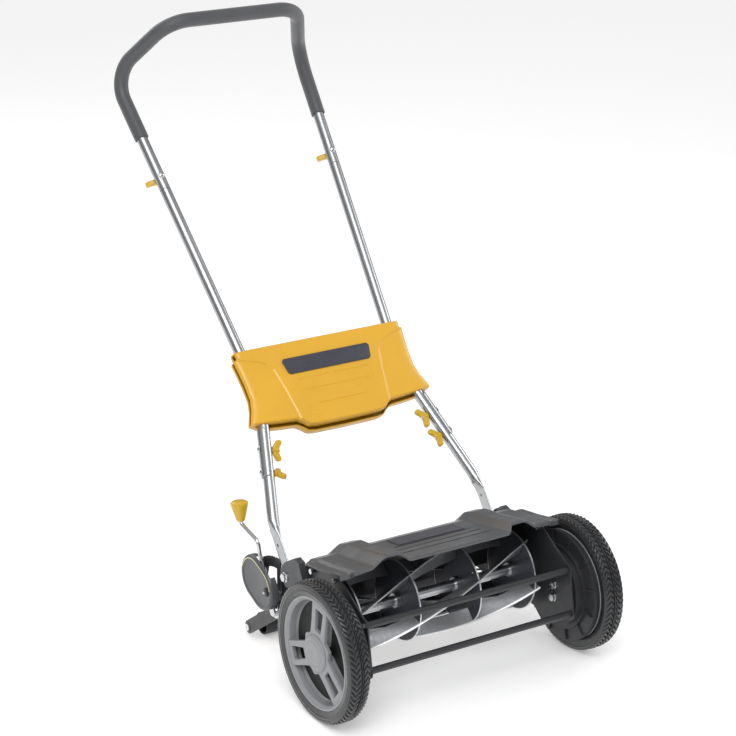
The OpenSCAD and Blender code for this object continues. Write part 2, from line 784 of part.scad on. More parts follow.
spare_hole = [234, 235];
module lower_tube(s) {
    low_end = sided(s, flat_top - low_dir * 2);
    color("#b4b6b8") in_frame() difference() {
        union() {
            rod(low_end, up_low(s, lower_len), tube_r);
            hull() {
                rod(low_end, sided(s, flat_top + low_dir * 2), tube_r + 0.15, $fn = 32);
                slab(s, flat_x - flat_t / 2 + 0.2, flat_x + flat_t / 2 - 0.2)
                    translate([236, 239]) rotate(53) square([4, 28.2], center = true);
            }
            slab(s, flat_x - flat_t / 2, flat_x + flat_t / 2) strip(handle_pivot, [238, 241], 14.5);
        }
        rod(sided(s, flat_top + low_dir * 6), up_low(s, lower_len + 1), inner_r);
        bar_x(s, 220, 236, handle_pivot[0], handle_pivot[1], pivot_r);
        bar_x(s, 220, 236, spare_hole[0], spare_hole[1], 3.25);
        across(s, bolt_mid, -20, 20, 3.05);
        across(s, bolt_low, -20, 20, 3.05);
    }
}
module lower_tube_left() { lower_tube(-1); }
module lower_tube_right() { lower_tube(1); }

// Panel between the middle tubes, drawn in the plane of the handle
panel_outline = [
    [0, 96], [183, 96], [181, 82], [189, 79], [184, 30], [183, 0], [189, -22], [200, -44],
    [196, -51], [106, -60], [84, -76], [0, -78]
];
panel_section = [
    [0, panel_half], [103, panel_half], [112, 15.4], [150, 15], [176, 13.8], [190, 8], [201, 0.2]
];
module panel_half_outline() {
    polygon(concat(panel_outline, [
        for (i = [len(panel_outline) - 1 : -1 : 0]) [-panel_outline[i][0], panel_outline[i][1]]
    ]));
}
module section_block(inset) {
    pts = [for (p = panel_section) [max(p[0] - inset, 0), max(p[1] - inset, 0.2)]];
    rotate([90, 0, 0]) linear_extrude(240, center = true) polygon(concat(
        [[0, 0.2]], pts, [for (i = [len(pts) - 1 : -1 : 0]) [-pts[i][0], pts[i][1]]]
    ));
}
module panel_shell() {
    difference() {
        intersection() {
            linear_extrude(panel_half) panel_half_outline();
            section_block(0);
        }
        intersection() {
            translate([0, 0, -1]) linear_extrude(panel_half) scale(0.972) panel_half_outline();
            section_block(panel_wall);
        }
    }
}
panel_at = [0, 417, 451.3];
module tube_passage() {
    for (s = [-1, 1]) {
        rod(sided(s, bend_low), sided(s, bend_low + up_dir * 130), tube_r + 0.4);
        rod(sided(s, bend_low - low_dir * 110), sided(s, bend_low), tube_r + 0.4);
        trough(s, 90, 126, tube_r - 1, neck_r + 0.4, neck_half + 3);
    }
}
module panel_front() {
    color("#e8b53f") in_frame() difference() {
        on_slope(panel_at) panel_shell();
        tube_passage();
    }
}
module panel_back() {
    color("#d9a838") in_frame() difference() {
        on_slope(panel_at) mirror([0, 0, 1]) panel_shell();
        tube_passage();
    }
}
module panel_badge() {
    color("#3a3a48") in_frame() on_slope(panel_at) translate([0, 0, panel_half + 0.02])
        linear_extrude(1.2)
        polygon([[-96, 62], [96, 62], [98, 56], [92, 33], [88, 30], [-88, 30], [-92, 33], [-98, 56]]);
}
module handle_bolts() {
    color("#c4c6c8") in_frame() for (s = [-1, 1]) {
        front_rear(s, bolt_up, -27, 12.5, 3);
        on_slope(sided(s, bolt_up)) translate([0, 0, tube_r + 0.3]) dome();
        for (p = [bolt_mid, bolt_low]) {
            across(s, p, -27, trough_r + 1.5, 3);
            on_cross_bolt(s, p) translate([0, 0, trough_r + 0.3]) dome();
        }
    }
}
// Wing knob: two wings on a threaded hub, axis along Z, hub from 0 to 12
module wing_knob() {
    difference() {
        union() {
            cylinder(h = 12, r = 6.5);
            translate([0, 0, 9]) rotate([90, 0, 0]) linear_extrude(7, center = true)
                polygon([
                    [-7, -7], [7, -7], [10, -3], [18.5, 3], [18.5, 8], [15, 10], [8, 7], [4, 4],
                    [-4, 4], [-8, 7], [-15, 10], [-18.5, 8], [-18.5, 3], [-10, -3]
                ]);
        }
        translate([0, 0, -1]) cylinder(h = 25, r = 3.05);
    }
}
module upper_knob(s) {
    color("#e3c12f") in_frame() on_slope(sided(s, bolt_up))
        mirror([0, 0, 1]) translate([0, 0, 11.4]) wing_knob();
}
module cross_knob(s, p, turn) {
    color("#e3c12f") in_frame() on_cross_bolt(s, p) rotate([180, 0, 0])
        translate([0, 0, 11.4]) rotate(turn) wing_knob();
}
module wing_knob_upper_left() { upper_knob(-1); }
module wing_knob_upper_right() { upper_knob(1); }
module wing_knob_middle_left() { cross_knob(-1, bolt_mid, 20); }
module wing_knob_middle_right() { cross_knob(1, bolt_mid, 60); }
module wing_knob_lower_left() { cross_knob(-1, bolt_low, 50); }
module wing_knob_lower_right() { cross_knob(1, bolt_low, 70); }

side_plate_left();
side_plate_right();
wheel_cover_left();
wheel_cover_right();
axle_left();
axle_right();
axle_bolts();
axle_clips();
reel_bearings();
tie_rod_upper();
tie_rod_lower();
frame_screws();
bedknife();
bedknife_bar();
bedknife_screws();
deck_cover();
deck_badge();
rear_baffle();
handle_bracket_left();
handle_bracket_right();
pivot_bolts();
height_sector();
lever_cover();
height_lever();
lever_knob();
carriage_shaft();
roller_arm_left();
roller_arm_right();
roller_axle();
rear_roller();
tyre_left();
tyre_right();
rim_left();
rim_right();
hub_cap_left();
hub_cap_right();
ring_gear_left();
ring_gear_right();
pinion_left();
pinion_right();
drive_pawls();
reel_shaft();
reel_discs();
reel_blades();
upper_tube();
foam_grip();
middle_tube_left();
middle_tube_right();
lower_tube_left();
lower_tube_right();
panel_front();
panel_back();
panel_badge();
handle_bolts();
wing_knob_upper_left();
wing_knob_upper_right();
wing_knob_middle_left();
wing_knob_middle_right();
wing_knob_lower_left();
wing_knob_lower_right();
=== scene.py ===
import json
import math

import bmesh
import bpy
import numpy as np
from mathutils import Matrix, Vector


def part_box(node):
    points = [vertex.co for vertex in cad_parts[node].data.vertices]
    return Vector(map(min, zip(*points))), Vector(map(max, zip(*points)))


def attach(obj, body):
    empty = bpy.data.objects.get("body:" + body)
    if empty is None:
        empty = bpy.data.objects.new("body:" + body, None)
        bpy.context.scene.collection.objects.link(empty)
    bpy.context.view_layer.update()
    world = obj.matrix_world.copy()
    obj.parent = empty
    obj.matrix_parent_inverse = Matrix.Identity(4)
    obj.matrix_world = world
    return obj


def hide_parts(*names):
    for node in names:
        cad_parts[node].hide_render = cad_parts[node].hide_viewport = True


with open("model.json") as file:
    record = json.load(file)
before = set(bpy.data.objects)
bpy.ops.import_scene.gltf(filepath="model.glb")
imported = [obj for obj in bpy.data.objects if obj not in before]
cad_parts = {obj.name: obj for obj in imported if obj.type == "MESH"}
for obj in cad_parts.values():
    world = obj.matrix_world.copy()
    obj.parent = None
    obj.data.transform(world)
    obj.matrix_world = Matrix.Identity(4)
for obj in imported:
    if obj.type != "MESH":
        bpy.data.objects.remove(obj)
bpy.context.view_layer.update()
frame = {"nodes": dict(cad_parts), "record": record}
for imported in list(bpy.data.materials):
    bpy.data.materials.remove(imported)

# ---------------------------------------------------------------- places, from the frame
MM = 0.001
TYRE_LOW, TYRE_HIGH = (Vector(p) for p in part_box("tyre_right"))
AXLE = (TYRE_LOW + TYRE_HIGH) / 2
TYRE_R = (TYRE_HIGH.z - TYRE_LOW.z) / 2
SHAFT_LOW, SHAFT_HIGH = (Vector(p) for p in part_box("reel_shaft"))
REEL = (SHAFT_LOW + SHAFT_HIGH) / 2
SLOPE = math.radians(49)  # the handle leans back by this much from the ground
SIDES = {"left": -1, "right": 1}

# Handle design points in millimetres, from the ground under the wheel axle
BEND_LOW = Vector((158, 417, 451.3))
SEAM_LOW = BEND_LOW + Vector((42.1, -153.7 * math.cos(SLOPE), -153.7 * math.sin(SLOPE)))
GRIP_CORNER = Vector((211, 890, 991))
SEAM_UP = BEND_LOW.lerp(GRIP_CORNER, 0.6366)
GRIP_END = BEND_LOW.lerp(GRIP_CORNER, 0.796)
BAR_CORNER = Vector((143.3, 778, 1106.8))
HANDLE_PIVOT = Vector((227.6, 198, 187))
TUBE_R = 11
FOAM_R = 14.2
LOW_DIR = (BEND_LOW - SEAM_LOW).normalized()
UP_DIR = (SEAM_UP - BEND_LOW).normalized()
FLAT_TOP = SEAM_LOW - LOW_DIR * 87
TILT = -math.asin(LOW_DIR.x)  # lean of the low run in the slope plane
TROUGH_R = 14


def at(p):
    """A point in millimetres from the ground under the axle, as metres in the row frame."""
    return Vector((p[0] * MM, p[1] * MM + AXLE.y, p[2] * MM))


def sided(side, p):
    return Vector((side * p[0], p[1], p[2]))


def slope_matrix(origin):
    """X across, Y up the slope of the handle, Z to the front; children in millimetres."""
    turn = Matrix.Rotation(SLOPE, 4, "X")
    return Matrix.Translation(at(origin)) @ turn @ Matrix.Scale(MM, 4)


# ---------------------------------------------------------------- materials
def srgb(text):
    """Linear colour of a hex colour."""
    out = []
    for i in (1, 3, 5):
        c = int(text[i:i + 2], 16) / 255
        out.append(c / 12.92 if c < 0.04045 else ((c + 0.055) / 1.055) ** 2.4)
    return (*out, 1.0)


class Nodes:
    """A material's node tree with short calls for what every material here needs."""

    def __init__(self, name):
        self.mat = bpy.data.materials.new(name)
        self.mat.use_nodes = True
        self.tree = self.mat.node_tree
        self.bsdf = self.tree.nodes["Principled BSDF"]
        self.coords = self.new("ShaderNodeTexCoord").outputs["Object"]

    def new(self, kind, **values):
        node = self.tree.nodes.new(kind)
        for key, value in values.items():
            setattr(node, key, value)
        return node

    def link(self, a, b):
        self.tree.links.new(a, b)

    def noise(self, scale, detail=4.0, stretch=None):
        """Noise in 0 to 1; stretch scales its three axes."""
        node = self.new("ShaderNodeTexNoise")
        node.inputs["Scale"].default_value = scale
        node.inputs["Detail"].default_value = detail
        source = self.coords
        if stretch:
            mapping = self.new("ShaderNodeMapping")
            mapping.inputs["Scale"].default_value = stretch
            self.link(source, mapping.inputs["Vector"])
            source = mapping.outputs["Vector"]
        self.link(source, node.inputs["Vector"])
        return node.outputs["Fac"]

    def ramp(self, value, low, high, from_value=0.0, to_value=1.0):
        """Value from low to high, turned into from_value to to_value and held there."""
        node = self.new("ShaderNodeMapRange", clamp=True)
        for key, number in zip(("From Min", "From Max", "To Min", "To Max"),
                               (low, high, from_value, to_value)):
            node.inputs[key].default_value = number
        self.link(value, node.inputs["Value"])
        return node.outputs["Result"]

    def mix(self, factor, a, b):
        """Colour a to colour b; each is a colour or a socket."""
        node = self.new("ShaderNodeMix", data_type="RGBA")
        self.link(factor, node.inputs["Factor"])
        for key, value in (("A", a), ("B", b)):
            socket = [s for s in node.inputs if s.name == key and s.type == "RGBA"][0]
            if isinstance(value, tuple):
                socket.default_value = value
            else:
                self.link(value, socket)
        return [s for s in node.outputs if s.type == "RGBA"][0]

    def add(self, a, b, operation="ADD"):
        """A sum, or another operation, on sockets and numbers."""
        node = self.new("ShaderNodeMath", operation=operation)
        for i, value in enumerate((a, b)):
            if isinstance(value, (int, float)):
                node.inputs[i].default_value = value
            else:
                self.link(value, node.inputs[i])
        return node.outputs[0]

    def edges(self, radius=0.0011):
        """1 on edges and 0 on flat faces, from how far a rounded edge turns the normal."""
        soft = self.new("ShaderNodeBevel", samples=4)
        soft.inputs["Radius"].default_value = radius
        dot = self.new("ShaderNodeVectorMath", operation="DOT_PRODUCT")
        self.link(soft.outputs["Normal"], dot.inputs[0])
        self.link(self.new("ShaderNodeNewGeometry").outputs["Normal"], dot.inputs[1])
        return self.ramp(dot.outputs["Value"], 0.985, 0.86)

    def radius_from(self, point):
        """Distance from an axis along X through point, in metres."""
        split = self.new("ShaderNodeSeparateXYZ")
        self.link(self.coords, split.inputs[0])
        dy = self.add(split.outputs["Y"], -point.y)
        dz = self.add(split.outputs["Z"], -point.z)
        squares = self.add(self.add(dy, dy, "MULTIPLY"), self.add(dz, dz, "MULTIPLY"))
        return self.add(squares, 0.5, "POWER")

    def finish(self, colour, rough, bump, strength, distance, soft=True, **fixed):
        """Joins the maps to the shader; soft rounds the edges of the shading a little."""
        self.link(colour, self.bsdf.inputs["Base Color"])
        self.link(rough, self.bsdf.inputs["Roughness"])
        node = self.new("ShaderNodeBump")
        node.inputs["Strength"].default_value = strength
        node.inputs["Distance"].default_value = distance
        self.link(bump, node.inputs["Height"])
        if soft:
            bevel = self.new("ShaderNodeBevel", samples=4)
            bevel.inputs["Radius"].default_value = 0.0006
            self.link(bevel.outputs["Normal"], node.inputs["Normal"])
        self.link(node.outputs["Normal"], self.bsdf.inputs["Normal"])
        for key, value in fixed.items():
            self.bsdf.inputs[key.replace("_", " ")].default_value = value
        return self.mat


def shade(colour, factor):
    """A lighter or darker copy of a colour."""
    return (*(min(1.0, c * factor) for c in colour[:3]), 1.0)


def plastic(name, colour, rough=0.42, grain=900.0, bump=0.12, coat=0.0):
    """Moulded plastic: fine grain, edges lightened as a painted highlight, faint flow marks and dust."""
    n = Nodes(name)
    cloud = n.noise(9.0, 5.0)
    base = n.mix(cloud, shade(colour, 0.9), shade(colour, 1.1))
    base = n.mix(n.ramp(n.noise(160.0, 3.0), 0.62, 0.8, 0.0, 0.35), base, shade(colour, 1.25))
    # Painted highlight: edges made lighter, standing in for the light that rounded edges catch.
    base = n.mix(n.ramp(n.edges(), 0, 1, 0.0, 0.5), base, shade(colour, 1.45))
    roughness = n.ramp(n.noise(38.0, 4.0), 0.3, 0.7, rough - 0.06, rough + 0.08)
    return n.finish(base, roughness, n.noise(grain, 2.0), bump, 0.0002,
                    Coat_Weight=coat, Coat_Roughness=0.2)


BARE_METAL = srgb("#8E8F92")


def painted(name, colour, rough=0.38):
    """Paint on steel: orange peel, and bare metal where sharp edges have chipped."""
    n = Nodes(name)
    base = n.mix(n.noise(14.0, 4.0), shade(colour, 0.85), shade(colour, 1.15))
    chips = n.add(n.edges(0.0007), n.ramp(n.noise(160.0, 4.0), 0.5, 0.66, 0.0, 0.7), "MULTIPLY")
    base = n.mix(chips, base, BARE_METAL)
    roughness = n.ramp(n.noise(55.0, 4.0), 0.3, 0.7, rough - 0.05, rough + 0.1)
    return n.finish(base, roughness, n.noise(420.0, 2.0), 0.1, 0.0002, Coat_Weight=0.15,
                    Coat_Roughness=0.25)


def steel(name, colour, rough):
    """Bare or zinc-plated steel: fine grain, dull spots, and edges lightened as a painted highlight."""
    n = Nodes(name)
    base = n.mix(n.noise(24.0, 5.0), shade(colour, 0.82), shade(colour, 1.12))
    base = n.mix(n.ramp(n.noise(600.0, 3.0), 0.45, 0.7, 0.0, 0.3), base, shade(colour, 0.7))
    # Painted highlight: edges made lighter, standing in for the light that rounded edges catch.
    base = n.mix(n.ramp(n.edges(), 0, 1, 0.0, 0.6), base, shade(colour, 1.3))
    roughness = n.ramp(n.noise(240.0, 4.0), 0.3, 0.7, rough - 0.07, rough + 0.12)
    return n.finish(base, roughness, n.noise(600.0, 2.0), 0.06, 0.0002, Metallic=1.0)


def tube_steel(name, colour, rough, stretch):
    """Zinc-plated tube: smooth, with long faint draw marks, dull patches and a fine bloom."""
    n = Nodes(name)
    base = n.mix(n.noise(7.0, 3.0), shade(colour, 0.9), shade(colour, 1.08))
    base = n.mix(n.ramp(n.noise(260.0, 2.0, stretch), 0.5, 0.75, 0.0, 0.22), base, shade(colour, 0.72))
    base = n.mix(n.ramp(n.noise(45.0, 5.0), 0.6, 0.75, 0.0, 0.2), base, shade(colour, 0.8))
    roughness = n.ramp(n.noise(20.0, 3.0), 0.3, 0.7, rough - 0.03, rough + 0.07)
    return n.finish(base, roughness, n.noise(180.0, 2.0, stretch), 0.02, 0.0002, False, Metallic=1.0)


def rubber(name, colour, rough):
    """Moulded rubber: pitted skin, pale dust in the pits, edges lightened as painted glints, and a thin
    gloss.
    """
    n = Nodes(name)
    base = n.mix(n.noise(30.0, 5.0), shade(colour, 0.8), shade(colour, 1.25))
    base = n.mix(n.ramp(n.noise(500.0, 4.0), 0.6, 0.75, 0.0, 0.4), base, shade(colour, 2.0))
    # Painted highlight: edges made much lighter, standing in for glints on the tread.
    base = n.mix(n.ramp(n.edges(), 0, 1, 0.0, 0.6), base, shade(colour, 2.4))
    roughness = n.ramp(n.noise(70.0, 4.0), 0.3, 0.7, rough - 0.1, rough + 0.08)
    return n.finish(base, roughness, n.noise(700.0, 3.0), 0.12, 0.0003, Coat_Weight=0.35,
                    Coat_Roughness=0.16)


def foam(name, colour):
    """Closed-cell foam: very fine cells, soft and slightly shiny where hands rub it."""
    n = Nodes(name)
    base = n.mix(n.noise(12.0, 4.0), shade(colour, 0.85), shade(colour, 1.2))
    roughness = n.ramp(n.noise(18.0, 3.0), 0.35, 0.65, 0.42, 0.58)
    cells = n.new("ShaderNodeTexVoronoi")
    cells.inputs["Scale"].default_value = 900.0
    n.link(n.coords, cells.inputs["Vector"])
    return n.finish(base, roughness, cells.outputs["Distance"], 0.25, 0.0003,
                    Sheen_Weight=0.3, Sheen_Roughness=0.45)


def worn_by_radius(name, colour, edge_colour, centre, start, end, metallic, rough):
    """Steel or paint that turns bright near a radius, as a ground or rubbed edge does."""
    n = Nodes(name)
    base = n.mix(n.noise(30.0, 5.0), shade(colour, 0.8), shade(colour, 1.2))
    scratch = n.ramp(n.noise(260.0, 4.0, (1.0, 0.25, 0.25)), 0.55, 0.7, 0.0, 0.25)
    base = n.mix(scratch, base, shade(colour, 1.6))
    bright = n.ramp(n.radius_from(centre), start, end)
    base = n.mix(bright, base, edge_colour)
    n.link(n.add(bright, metallic, "MAXIMUM"), n.bsdf.inputs["Metallic"])
    roughness = n.ramp(n.noise(120.0, 4.0), 0.3, 0.7, rough - 0.08, rough + 0.1)
    return n.finish(base, roughness, n.noise(500.0, 3.0), 0.08, 0.0002)


LONG_X = (0.04, 1.0, 1.0)
MATERIALS = {
    "black_paint": painted("black_paint", srgb("#2B2C2F")),
    "black_plastic": plastic("black_plastic", srgb("#2C2D30"), 0.36, 700.0),
    "zinc": steel("zinc", srgb("#D4D6D8"), 0.2),
    "bearing_steel": tube_steel("bearing_steel", srgb("#C9CBCE"), 0.27, LONG_X),
    "dark_steel": painted("dark_steel", srgb("#2B2C2F"), 0.44),
    "bracket_grey": painted("bracket_grey", srgb("#3C3E41"), 0.4),
    "deck_grey": plastic("deck_grey", srgb("#505255"), 0.36, 800.0, 0.08, 0.1),
    "badge_dark": plastic("badge_dark", srgb("#3D3D48"), 0.3, 1200.0, 0.03, 0.3),
    "knob_yellow": plastic("knob_yellow", srgb("#D0A820"), 0.3, 900.0, 0.06, 0.25),
    "roller_black": plastic("roller_black", srgb("#232427"), 0.45, 500.0, 0.2),
    "tyre": rubber("tyre", srgb("#28292B"), 0.34),
    "rim_grey": plastic("rim_grey", srgb("#8E8F92"), 0.33, 800.0, 0.08, 0.2),
    "gear_nylon": plastic("gear_nylon", srgb("#3C3D40"), 0.4),
    "gear_iron": steel("gear_iron", srgb("#7C7D80"), 0.36),
    "tube_zinc": tube_steel("tube_zinc", srgb("#B4B6B8"), 0.25, (1.0, 0.15, 0.15)),
    "foam": foam("foam", srgb("#4C4D50")),
    "panel_yellow": plastic("panel_yellow", srgb("#E2AC2C"), 0.33, 1000.0, 0.06, 0.3),
    "panel_back_yellow": plastic("panel_back_yellow", srgb("#D9A52E"), 0.36, 1000.0, 0.06, 0.2),
    "knife_steel": worn_by_radius("knife_steel", srgb("#8A8B8E"), srgb("#F2F3F4"), REEL,
                                  0.0755, 0.0775, 0.7, 0.42),
    "disc_paint": worn_by_radius("disc_paint", srgb("#3A3C44"), srgb("#E6E7E9"), REEL,
                                 0.0752, 0.0762, 0.0, 0.36),
}
# Near-black for the dark seams at the tube joints, and for a disc of painted shade inside the rims.
SEAM_AND_SHADE_BLACK = plastic("seam_black", srgb("#0F1011"), 0.55)
LINE_YELLOW = plastic("line_yellow", srgb("#E9E2B0"), 0.4)


def paint_cad_nodes():
    slots = {s["node"]: s["material_slot"] for s in frame["record"]["subparts"]}
    for name, obj in frame["nodes"].items():
        obj.data.materials.clear()
        obj.data.materials.append(MATERIALS[slots[name]])


# ---------------------------------------------------------------- mesh helpers
def make(name, verts, faces, material, body, replaced=(), smooth=True, metres=False):
    """A mesh piece from points in millimetres under the axle, riding on a body."""
    mesh = bpy.data.meshes.new(name)
    points = [tuple(v) for v in verts] if metres else [tuple(at(v)) for v in verts]
    mesh.from_pydata(points, [], [tuple(f) for f in faces])
    mesh.validate()
    obj = bpy.data.objects.new(name, mesh)
    bpy.context.collection.objects.link(obj)
    return settle(obj, material, body, replaced, smooth)


SHARP_ANGLE = math.radians(35)


def settle(obj, material, body, replaced=(), smooth=True):
    """Normals outwards, smooth shading up to an angle, material and body; hides the parts it replaces."""
    mesh = obj.data
    work = bmesh.new()
    work.from_mesh(mesh)
    bmesh.ops.recalc_face_normals(work, faces=work.faces)
    work.to_mesh(mesh)
    work.free()
    if smooth:
        mesh.shade_smooth()
        mesh.set_sharp_from_angle(angle=SHARP_ANGLE)
    mesh.materials.clear()
    mesh.materials.append(material)
    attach(obj, body)
    if replaced:
        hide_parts(*replaced)
    return obj


def apply_modifiers(obj):
    """Replaces the mesh with what its modifiers give."""
    graph = bpy.context.evaluated_depsgraph_get()
    mesh = bpy.data.meshes.new_from_object(obj.evaluated_get(graph))
    obj.modifiers.clear()
    old = obj.data
    obj.data = mesh
    if isinstance(old, bpy.types.Mesh):
        bpy.data.meshes.remove(old)
    return obj


def grid_faces(rows, columns, wrap_columns=False, wrap_rows=False):
    """Quads between rows of points; each direction may close on itself."""
    faces = []
    for i in range(rows if wrap_rows else rows - 1):
        for j in range(columns if wrap_columns else columns - 1):
            a, b = i * columns, ((i + 1) % rows) * columns
            k = (j + 1) % columns
            faces.append((a + j, a + k, b + k, b + j))
    return faces


def route_points(corners, radii, step=math.radians(3)):
    """Points along a route whose corners are rounded to the given radii."""
    points = [corners[0].copy()]
    for i in range(1, len(corners) - 1):
        a = (corners[i] - corners[i - 1]).normalized()
        b = (corners[i + 1] - corners[i]).normalized()
        turn = a.angle(b)
        if radii[i] <= 0 or turn < 1e-4:
            points.append(corners[i].copy())
            continue
        reach = radii[i] * math.tan(turn / 2)
        inward = (b - a * a.dot(b)).normalized()
        centre = corners[i] - a * reach + inward * radii[i]
        count = max(3, round(turn / step))
        for k in range(count + 1):
            t = turn * k / count
            points.append(centre - inward * radii[i] * math.cos(t) + a * radii[i] * math.sin(t))
    points.append(corners[-1].copy())
    return points


def sweep(points, sections):
    """Rings of points along a path. sections(i) gives the ring's (side, up) offsets."""
    verts = []
    tangent = (points[1] - points[0]).normalized()
    side = tangent.cross(Vector((0, 0, 1))).normalized()
    for i, p in enumerate(points):
        ahead = points[min(i + 1, len(points) - 1)] - p
        behind = p - points[max(i - 1, 0)]
        tangent = (ahead.normalized() + behind.normalized()).normalized()
        side = (side - tangent * side.dot(tangent)).normalized()
        up = tangent.cross(side)
        verts += [p + side * u + up * v for u, v in sections(i)]
    return verts


def circle(r, count):
    """Points of a circle round the origin."""
    return [(r * math.cos(2 * math.pi * k / count), r * math.sin(2 * math.pi * k / count))
            for k in range(count)]


def pipe(name, points, radius, material, body, replaced=(), sides=40, wall=1.2, lip=0.5):
    """A hollow tube along points, with rounded mouths."""
    n = len(points)
    first, last = (points[0] - points[1]).normalized(), (points[-1] - points[-2]).normalized()
    path = [points[0] - first * lip] + points[1:-1] + [points[-1] - last * lip]
    outer = sweep(path, lambda i: circle(radius, sides))
    mouths = [(0, first), (n - 1, last)]
    inner = sweep(path, lambda i: circle(radius - wall, sides))
    verts = outer + inner
    faces = grid_faces(n, sides, wrap_columns=True)
    faces += [tuple(reversed([v + n * sides for v in f])) for f in faces]
    for end, away in mouths:
        ring = len(verts)
        for k in range(sides):
            middle = (verts[end * sides + k] + verts[(n + end) * sides + k]) / 2
            verts.append(middle + away * lip)
        for k in range(sides):
            m = (k + 1) % sides
            faces.append((end * sides + k, end * sides + m, ring + m, ring + k))
            faces.append((ring + k, ring + m, (n + end) * sides + m, (n + end) * sides + k))
    return make(name, verts, faces, material, body, replaced)


def cut(obj, cutter):
    """Takes a cutter away from a piece, and removes the cutter."""
    change = obj.modifiers.new("cut", "BOOLEAN")
    change.object = cutter
    change.operation = "DIFFERENCE"
    change.solver = "EXACT"
    apply_modifiers(obj)
    bpy.data.objects.remove(cutter)


def turned(name, profile, side, centre, material, body, replaced=(), steps=180):
    """A body of revolution about X; profile points are (radius, |x|) in millimetres."""
    verts = []
    for k in range(steps):
        a = 2 * math.pi * k / steps
        verts += [(side * x, centre[0] + r * math.cos(a), centre[1] + r * math.sin(a))
                  for r, x in profile]
    faces = grid_faces(steps, len(profile), wrap_columns=True, wrap_rows=True)
    return make(name, verts, faces, material, body, replaced)


def rounded(profile, radius, steps=4):
    """A closed 2-D outline with its corners rounded."""
    out = []
    count = len(profile)
    for i in range(count):
        p, q, r = (Vector(profile[(i + k) % count]) for k in (-1, 0, 1))
        a, b = q - p, r - q
        turn = a.angle(b, 0.0)
        reach = min(radius * math.tan(turn / 2), 0.45 * a.length, 0.45 * b.length)
        if turn < 0.05:
            out.append(tuple(q))
            continue
        start, end = q - a.normalized() * reach, q + b.normalized() * reach
        for k in range(steps + 1):
            t = k / steps
            out.append(tuple(start * (1 - t) ** 2 + q * 2 * t * (1 - t) + end * t * t))
    return out


def bevelled_plate(name, outlines, depth, bevel, matrix, material, body, replaced=()):
    """A flat plate with rounded edges from 2-D outlines in millimetres; inner outlines are holes."""
    curve = bpy.data.curves.new(name, "CURVE")
    curve.dimensions = "2D"
    curve.fill_mode = "BOTH"
    curve.extrude = depth / 2 - bevel
    curve.bevel_depth = bevel
    curve.bevel_resolution = 3
    curve.offset = -bevel
    for outline in outlines:
        spline = curve.splines.new("POLY")
        spline.points.add(len(outline) - 1)
        for point, (x, y) in zip(spline.points, outline):
            point.co = (x, y, 0, 1)
        spline.use_cyclic_u = True
    temp = bpy.data.objects.new(name + ".curve", curve)
    bpy.context.collection.objects.link(temp)
    bpy.context.view_layer.update()
    graph = bpy.context.evaluated_depsgraph_get()
    mesh = bpy.data.meshes.new_from_object(temp.evaluated_get(graph))
    bpy.data.objects.remove(temp)
    bpy.data.curves.remove(curve)
    mesh.transform(matrix)
    work = bmesh.new()
    work.from_mesh(mesh)
    bmesh.ops.remove_doubles(work, verts=work.verts, dist=1e-6)
    work.to_mesh(mesh)
    work.free()
    obj = bpy.data.objects.new(name, mesh)
    bpy.context.collection.objects.link(obj)
    return settle(obj, material, body, replaced)


def yz_plane(x, y=0.0, z=0.0):
    """Outline X, Y to the row's Y, Z, at |x| from the middle, in millimetres."""
    place = Matrix.Translation(at((x, y, z)))
    turn = Matrix(((0, 0, 1, 0), (1, 0, 0, 0), (0, 1, 0, 0), (0, 0, 0, 1)))
    return place @ turn @ Matrix.Scale(MM, 4)


def smooth_step(value, low, high):
    """0 below low, 1 above high, with a soft ramp between."""
    t = np.clip((value - low) / (high - low), 0.0, 1.0)
    return t * t * (3 - 2 * t)


def settle_again(obj, material, angle=40):
    """Smooth shading and the material again, after a change to the mesh."""
    mesh = obj.data
    mesh.shade_smooth()
    mesh.set_sharp_from_angle(angle=math.radians(angle))
    mesh.materials.clear()
    mesh.materials.append(material)
    return obj


# ---------------------------------------------------------------- wheels
TREAD_PITCHES = 72
TREAD_DEPTH = 3.4
TREAD_STEPS = 14


def tread_height(turn, u):
    """1 on a rib, 0 in a groove. turn counts pitches round the tyre, u runs -1 to 1 across."""
    def band(low, high, lean):
        """A row of V ribs between two places across the tread."""
        middle, half = (low + high) / 2, (high - low) / 2
        inside = smooth_step(u, low, low + 0.06) * (1 - smooth_step(u, high - 0.06, high))
        phase = (turn + lean * np.abs(u - middle) / half) % 1.0
        rib = smooth_step(phase, 0.02, 0.2) * (1 - smooth_step(phase, 0.62, 0.8))
        return inside * rib
    ring = smooth_step(u, 0.04, 0.07) * (1 - smooth_step(u, 0.14, 0.17))
    return np.maximum(np.maximum(band(-0.97, -0.02, 1.1), band(0.22, 0.97, -0.9)), ring)


